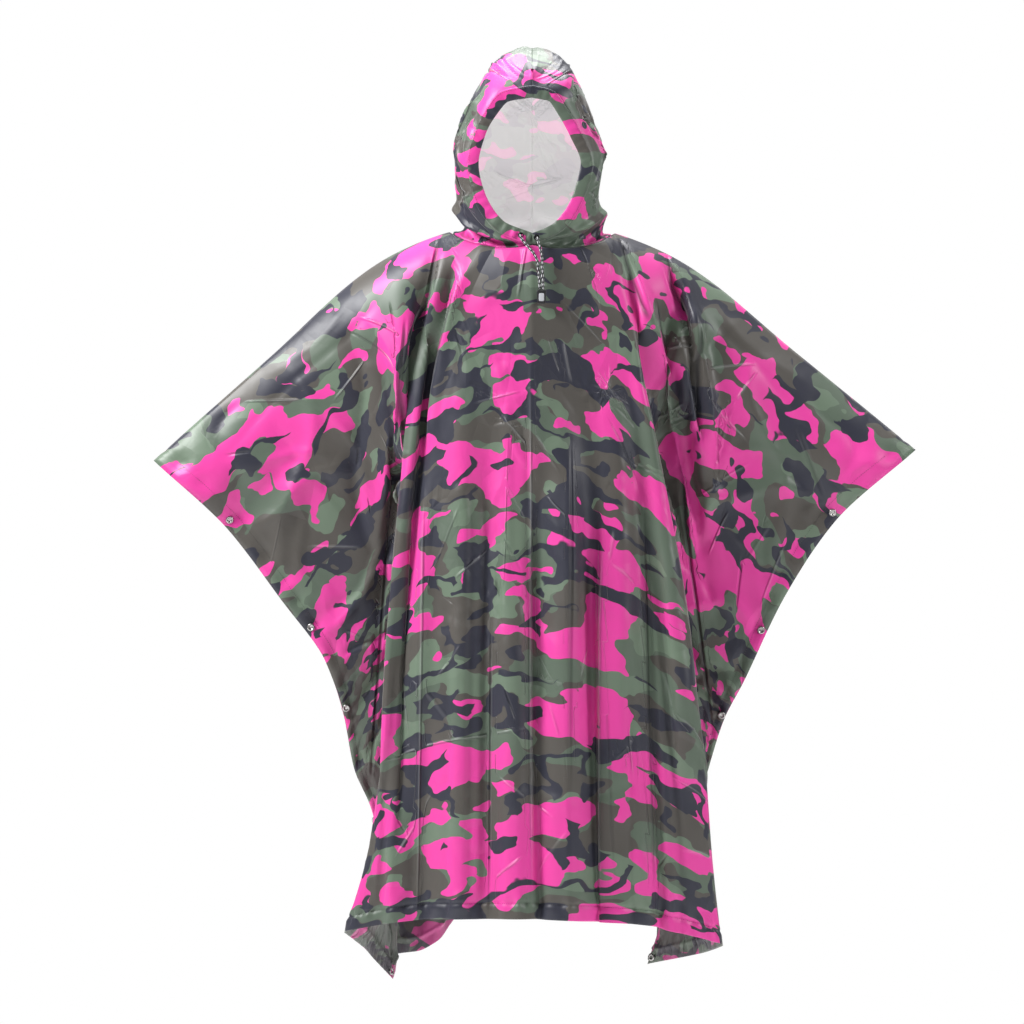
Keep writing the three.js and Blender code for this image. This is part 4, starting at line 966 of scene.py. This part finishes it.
# strength of the painted glow of the hood's inside
HOOD_PAINTED_GLOW = 0.56
hood_printed = print_cloth("printed_taffeta_hood", 0.44, None, in_depth=True)
hood_inside_painted_light = print_cloth("printed_taffeta_hood_inside_painted_light", 0.5, HOOD_PAINTED_LIGHT, HOOD_PAINTED_GLOW, in_depth=True)
for side, hand, seed in (("left", -1, 31), ("right", 1, 37)):
    rows, columns = np.linspace(0, 1, HOOD_ROWS + 1), np.linspace(0, 1, HOOD_COLUMNS + 1)
    up, turn = np.meshgrid(rows, columns, indexing="ij")
    inner = hood_points(hand, up, turn)
    u = np.cumsum(np.linalg.norm(np.diff(inner, axis=1, prepend=inner[:, :1]), axis=-1), axis=1)
    v = np.cumsum(np.linalg.norm(np.diff(inner, axis=0, prepend=inner[:1]), axis=-1), axis=0)
    normal = grid_normals(inner) * -hand
    rise = HOOD_CREASE_RISE * crease_height(u, v, HOOD_CREASES[hand])
    rise += crease_height(u, v, crumples(seed, *HOOD_SMALL_CREASES))
    edges = smooth(0, SIDE_FADE, turn) * smooth(0, SIDE_FADE, 1 - turn)
    edges = edges * smooth(0, FOOT_FADE, up) * smooth(0, CROWN_FADE, 1 - up)
    edges = edges * (1 - 0.7 * smooth(*CROWN_CALM, up))
    from_seam = u.max(axis=1)[:, None] - u
    seam_flap = bell(from_seam, SEAM_FLAP_WIDE) * SEAM_FLAP
    stitch = bell(from_seam - SEAM_STITCH_IN, SEAM_STITCH_WIDE) * SEAM_STITCH
    gathers = GATHERS * uneven_wave(u, *GATHER_WAVE) * (1 - smooth(*GATHERS_OVER, v))
    from_roll = v - ROLL_HIGH - ROLL_WANDER * np.sin(u / ROLL_PITCH + hand)
    slack = smooth(*SLACK_OVER, turn)
    gathers += mix(*ROLL_RISE, slack) * bell(from_roll, ROLL_THICK)
    gathers -= mix(*DIP_RISE, slack) * bell(from_roll - ABOVE_ROLL, DIP_THICK)
    welt = WELT * (1 - smooth(*WELT_OVER, up))
    height = CLOTH_LIES + (rise + gathers) * edges + seam_flap - stitch + welt
    points = inner + normal * height[..., None]
    points[:, -1, 0] = 0
    thin = [(*line[:4], 4.5, line[5] * 0.9) for line in HOOD_CREASES[hand] if line[1] < HOOD_CROWN]
    sharp = sharp_creases(u, v, thin + crumples(seed + 1, *HOOD_SHARP_CREASES))
    piece = cloth_grid(f"hood_{side}_cloth", points, np.stack([hand * u, v], -1), sharp, hand > 0,
                       [hood_printed, hood_inside_painted_light])
    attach(piece, "root")
    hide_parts(f"hood_{side}")

# Casing round the face opening: a channel of the same cloth, 18 mm wide, that the drawstring runs in.
# The cord gathers it, most of all at the bottom, where two eyelets let the ends out.
CASING_WIDE, CASING_THICK = 18.0, 5.0
CASING_FLATNESS = 0.7  # of its section: 1 is an oval, and less is fuller
CASING_WAVE = (2.8, 1.8, 19.0)
CASING_RIPPLE, LOW_RIPPLE, LOW_REACH = 0.55, 0.75, 45.0
CASING_DRIFTS = ((1.2, 37.0, 0), (0.8, 14.0, 1))  # how far, pitch and phase of its change in width
OPENING_MIDDLE = np.array([-2.0, -92.0, 120.0])
LOOP_STEPS, CASING_SIDES = 320, 20
ups = np.linspace(0.03, 1, 90)
left_edge, right_edge = (hood_points(hand, ups, 0 * ups) for hand in (-1, 1))
crown = left_edge[-1:] * (0, 1, 1)
bottom = hood_points(-1, np.zeros(1), np.zeros(1)) * (0, 1, 1)
loop = np.vstack([left_edge[:-1], crown, right_edge[:-1][::-1], bottom, left_edge[:1]])
at = np.linspace(0, lengths_along(loop)[-1], LOOP_STEPS, endpoint=False)
loop = at_lengths(loop, loop, at)
for _ in range(3):
    loop = (np.roll(loop, 1, 0) + 2 * loop + np.roll(loop, -1, 0)) / 4
way = unit(np.roll(loop, -1, 0) - np.roll(loop, 1, 0))
inward = OPENING_MIDDLE - loop
inward = unit(inward - way * (inward * way).sum(1)[:, None])
forward = np.cross(way, inward)
forward *= np.where(forward[:, 1] > 0, -1, 1)[:, None]
angle = np.linspace(0, 2 * np.pi, CASING_SIDES, endpoint=False)
low_share = bell(loop[:, 2] - loop[:, 2].min(), LOW_REACH)
ripple = uneven_wave(at, *CASING_WAVE) * (CASING_RIPPLE + LOW_RIPPLE * low_share)
drift = sum(far * np.sin(at / pitch + phase) for far, pitch, phase in CASING_DRIFTS)
wide = CASING_WIDE / 2 + 0.5 + drift * 0.5
thick = CASING_THICK / 2 + ripple
middle = loop + inward * (CASING_WIDE / 2 + SEAM_GAP)
squash = np.sign(np.sin(angle)) * np.abs(np.sin(angle)) ** CASING_FLATNESS
rings = (middle[:, None] + (wide[:, None] * np.cos(angle))[..., None] * inward[:, None]
         + (thick[:, None] * squash)[..., None] * forward[:, None])
faces = []
for i in range(LOOP_STEPS):
    for j in range(CASING_SIDES):
        k, n = (i + 1) % LOOP_STEPS, (j + 1) % CASING_SIDES
        faces.append((i * CASING_SIDES + j, k * CASING_SIDES + j, k * CASING_SIDES + n, i * CASING_SIDES + n))
casing = new_mesh("hood_casing_cloth", rings.reshape(-1, 3) * MM, faces)
casing.data.materials.append(hood_printed)
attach(casing, "root")
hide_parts("hood_casing")

# Fittings. Nickel-plated steel press studs join the side edges, a steel eyelet is set in each low
# corner, and two small black eyelets in the casing let the drawstring out.
SNAP_CAP = [(0, 0.9), (1.4, 0.8), (2.5, 0.9), (3.1, 1.5), (3.7, 2.2), (4.5, 2.5), (5.3, 2.3),
            (6.0, 1.6), (6.4, 0.8), (6.3, 0.2), (6.0, 0)]
EYELET = [(6.1, -1.0), (6.3, -1.2), (6.0, -1.9), (5.2, -2.3), (4.3, -2.5), (3.5, -2.4), (2.8, -2.0),
          (2.5, -1.4), (2.6, 0), (2.5, 0.6), (2.8, 1.2), (3.5, 1.6), (4.4, 1.7), (5.4, 1.4), (6.1, 0.8),
          (6.3, 0.2), (6.1, 0)]
CORD_EYELET = [(2.7, 0), (2.7, 0.6), (3.0, 1.1), (3.6, 1.4), (4.3, 1.2), (4.8, 0.6), (4.8, 0)]
EYELET_HOLE, CORD_EYELET_HOLE = 2.7, 2.8
DISC_HIGH = 0.15
FITTING_LIFT = 0.2  # mm off the cloth
TURN_STEPS = 28
NICKEL = (0.40, 0.39, 0.38)
BLACK_LACQUER = (0.035, 0.035, 0.038)
WEAR_CELLS, WEAR_ROUGH, WEAR_DARK = 260.0, 0.2, 0.72


def turned(name, profile, foot, axis, materials, hole=0.0):
    """A round fitting from its profile of radii and heights, with a disc of painted shadow in its hole."""
    axis = unit(np.array(axis))
    side = unit(np.cross(axis, (0.0, 0.0, 1.0)))
    other = np.cross(axis, side)
    turns = np.linspace(0, 2 * np.pi, TURN_STEPS, endpoint=False)

    def ring(radius, height):
        return [foot + axis * height + radius * (math.cos(a) * side + math.sin(a) * other) for a in turns]

    points = [point for radius, height in profile for point in ring(radius, height)]
    faces, kinds = [], []
    for i in range(len(profile) - 1):
        for j in range(TURN_STEPS):
            n = (j + 1) % TURN_STEPS
            a, b = i * TURN_STEPS, (i + 1) * TURN_STEPS
            faces.append((a + j, a + n, b + n, b + j))
            kinds.append(0)
    if hole:
        disc = len(points)
        points += ring(hole, DISC_HIGH)
        faces.append(tuple(range(disc, disc + TURN_STEPS)))
        kinds.append(1)
    obj = new_mesh(name, np.array(points) * MM, faces)
    for material in materials:
        obj.data.materials.append(material)
    obj.data.polygons.foreach_set("material_index", kinds)
    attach(obj, "root")
    return obj


def place(face, along, down):
    """The point and the outward direction of a panel's cloth at a place on its cut."""
    grid = panels[face]
    column = np.interp(along, grid["along"][0], np.arange(COLUMNS + 1))
    j = min(int(column), COLUMNS - 1)
    row = np.interp(down, grid["down"][:, j], np.arange(ROWS + 1))
    i = min(int(row), ROWS - 1)
    u, v = column - j, row - i
    found = []
    for values in (grid["points"], grid["normal"]):
        upper = mix(values[i, j], values[i, j + 1], u)
        lower = mix(values[i + 1, j], values[i + 1, j + 1], u)
        found.append(mix(upper, lower, v))
    return found


def metal(name, tone, rough):
    material, shader = finish(name, Metallic=1.0, Roughness=rough)
    worn = noise(in_object(), WEAR_CELLS, 3.0)
    dark_tone = colour([c * WEAR_DARK for c in tone])
    feed(shader, "Roughness", worn * WEAR_ROUGH + (rough - 0.06))
    feed(shader, "Base Color", colour(tone).over(dark_tone, worn.clipped(0.3, 0.6)))
    return material


nickel = metal("nickel_plate", NICKEL, 0.28)
black_metal = metal("black_lacquered_brass", BLACK_LACQUER, 0.35)
# painted shadow: a near-black disc stands in for the shade inside an eyelet's hole
painted_hole_shadow, _ = finish("hole_shadow", Base_Color=(0.01, 0.01, 0.012, 1), Roughness=0.9)
for face in ("front", "back"):
    for side, hand in (("left", -1), ("right", 1)):
        for number, down in enumerate(SNAPS_DOWN, 1):
            foot, axis = place(face, hand * (HALF_WIDE - SNAP_INSET), down)
            name = f"snap_{face}_{side}_{number}"
            snap = turned(f"{name}_cap", SNAP_CAP, foot + axis * FITTING_LIFT, axis, [nickel])
            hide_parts(name)
        foot, axis = place(face, hand * (HALF_WIDE - SNAP_INSET), LONG - SNAP_INSET)
        name = f"corner_eyelet_{face}_{side}"
        foot = foot + axis * FITTING_LIFT
        ring = turned(f"{name}_ring", EYELET, foot, axis, [nickel, painted_hole_shadow], EYELET_HOLE)
        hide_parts(name)
for name, route in CORD_ROUTES.items():
    name = name.replace("drawstring", "cord_eyelet")
    nearest = np.argmin(np.linalg.norm(middle - route[0], axis=1))
    axis = forward[nearest]
    foot = middle[nearest] + axis * (thick[nearest] + FITTING_LIFT)
    ring = turned(f"{name}_ring", CORD_EYELET, foot, axis, [black_metal, painted_hole_shadow], CORD_EYELET_HOLE)
    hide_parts(name)

# Clamp on the drawstring: moulded black plastic that narrows downwards, with a grey button let into
# its face. Both cord ends are fixed in its top.
CLAMP_TOP, CLAMP_FOOT, CLAMP_HIGH, CLAMP_THICK = 16.0, 12.5, 22.0, 8.0
CLAMP_CORNER, CLAMP_BEVEL = 3.0, 1.3
CLAMP_AT = (14.5, -126.5, -81.7)
BUTTON_WIDE, BUTTON_HIGH, BUTTON_THICK = 8.4, 12.5, 1.5
BUTTON_CORNER, BUTTON_BEVEL = 2.4, 0.6
BUTTON_OUT, BUTTON_LOW = 0.45, 0.5  # mm out of the clamp's face, and below its middle
CLAMP_BLACK = (0.014, 0.014, 0.016)
BUTTON_GREY = (0.42, 0.43, 0.46)
GRAIN_CELLS, GRAIN_ROUGH, GRAIN_DARK, GRAIN_RISE = 900.0, 0.15, 0.85, 0.0001


def block(name, corners, radius, middle_y, thick, bevel, material):
    """A flat block from four corners in (x, z), rounded off at them, with softened edges."""
    outline = []
    for i, corner in enumerate(corners):
        corner = np.array(corner)
        before, after = np.array(corners[i - 1]), np.array(corners[(i + 1) % 4])
        a = corner + (before - corner) * radius / np.linalg.norm(before - corner)
        b = corner + (after - corner) * radius / np.linalg.norm(after - corner)
        outline += [a * (1 - t) ** 2 + corner * 2 * t * (1 - t) + b * t * t for t in np.linspace(0, 1, 8)]
    count = len(outline)
    points = [(x, middle_y + side * thick / 2, z) for side in (-1, 1) for x, z in outline]
    faces = [tuple(range(count))[::-1], tuple(range(count, 2 * count))]
    faces += [(i, (i + 1) % count, count + (i + 1) % count, count + i) for i in range(count)]
    obj = new_mesh(name, np.array(points) * MM, faces)
    soft = obj.modifiers.new("soft_edges", "BEVEL")
    soft.width = bevel * MM
    soft.segments = 4
    obj.data.materials.append(material)
    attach(obj, "root")
    return obj


def plastic(name, tone, rough):
    material, shader = finish(name, Roughness=rough)
    grain = noise(in_object(), GRAIN_CELLS, 2.0)
    feed(shader, "Roughness", grain * GRAIN_ROUGH + (rough - 0.05))
    feed(shader, "Base Color", colour(tone).over(colour([c * GRAIN_DARK for c in tone]), grain))
    relief = S.node("ShaderNodeBump", Strength=0.3, Distance=1.0, Height=grain * GRAIN_RISE)
    feed(shader, "Normal", relief)
    return material


x, y, z = CLAMP_AT
clamp_corners = [(x - CLAMP_TOP / 2, z), (x - CLAMP_FOOT / 2, z - CLAMP_HIGH),
                 (x + CLAMP_FOOT / 2, z - CLAMP_HIGH), (x + CLAMP_TOP / 2, z)]
clamp = block("cord_clamp", clamp_corners, CLAMP_CORNER, y, CLAMP_THICK, CLAMP_BEVEL,
              plastic("moulded_black_plastic", CLAMP_BLACK, 0.42))
button_y, button_z = y - CLAMP_THICK / 2 - BUTTON_OUT, z - CLAMP_HIGH / 2 - BUTTON_LOW
button_corners = [(x + i * BUTTON_WIDE / 2, button_z + j * BUTTON_HIGH / 2)
                  for i, j in ((-1, 1), (-1, -1), (1, -1), (1, 1))]
button = block("cord_clamp_button", button_corners, BUTTON_CORNER, button_y, BUTTON_THICK, BUTTON_BEVEL,
               plastic("moulded_grey_plastic", BUTTON_GREY, 0.4))
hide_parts("cord_end")
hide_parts("cord_end_button")

# Stitching. Polyester thread holds the doubled hems down along the bottom and the side edges, and
# runs round the outer edge of the casing.
STITCH_PITCH, STITCH_LONG, STITCH_HALF = 3.6, 2.6, 0.32
THREAD_FROM = 30  # mm below the shoulder fold
SEAM_INSET = 2.0


def stitches(name, line, normals, material):
    """One mesh of small stitches along a line on the cloth, standing a little proud of it."""
    line, normals = np.array(line), np.array(normals)
    count = int(lengths_along(line)[-1] / STITCH_PITCH)
    middles = np.arange(0.5, count) * STITCH_PITCH
    ends = [at_lengths(line, line, middles + side * STITCH_LONG / 2) for side in (-1, 1)]
    out = unit(at_lengths(line, normals, middles))
    side = unit(np.cross(ends[1] - ends[0], out)) * STITCH_HALF
    middle = (ends[0] + ends[1]) / 2 + out * STITCH_HALF * 1.6
    around = [side, out * STITCH_HALF * 1.2, -side, -out * STITCH_HALF * 0.6]
    points = np.stack([ends[0]] + [middle + shift for shift in around] + [ends[1]], 1)
    faces = []
    for i in range(len(middles)):
        base = i * 6
        for j in range(4):
            a, b = base + 1 + j, base + 1 + (j + 1) % 4
            faces += [(base, a, b), (base + 5, b, a)]
    obj = new_mesh(name, points.reshape(-1, 3) * MM, faces)
    obj.data.materials.append(material)
    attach(obj, "root")
    return obj


thread, _ = finish("polyester_thread", Base_Color=(0.05, 0.048, 0.046, 1), Roughness=0.6)
for face in ("front", "back"):
    side, low = HALF_WIDE - HEM, LONG - HEM
    route = [(-side, d) for d in np.arange(THREAD_FROM, low, 6)]
    route += [(a, low) for a in np.arange(-side, side, 4)]
    route += [(side, d) for d in np.arange(low, THREAD_FROM, -6)]
    places = [place(face, a, d) for a, d in route]
    stitches(f"{face}_hem_stitches", [p for p, _ in places], [n for _, n in places], thread)
seam_line = middle - inward * (CASING_WIDE / 2 - SEAM_INSET) + forward * (thick * 0.8)[:, None]
stitches("casing_stitches", seam_line, forward, thread)
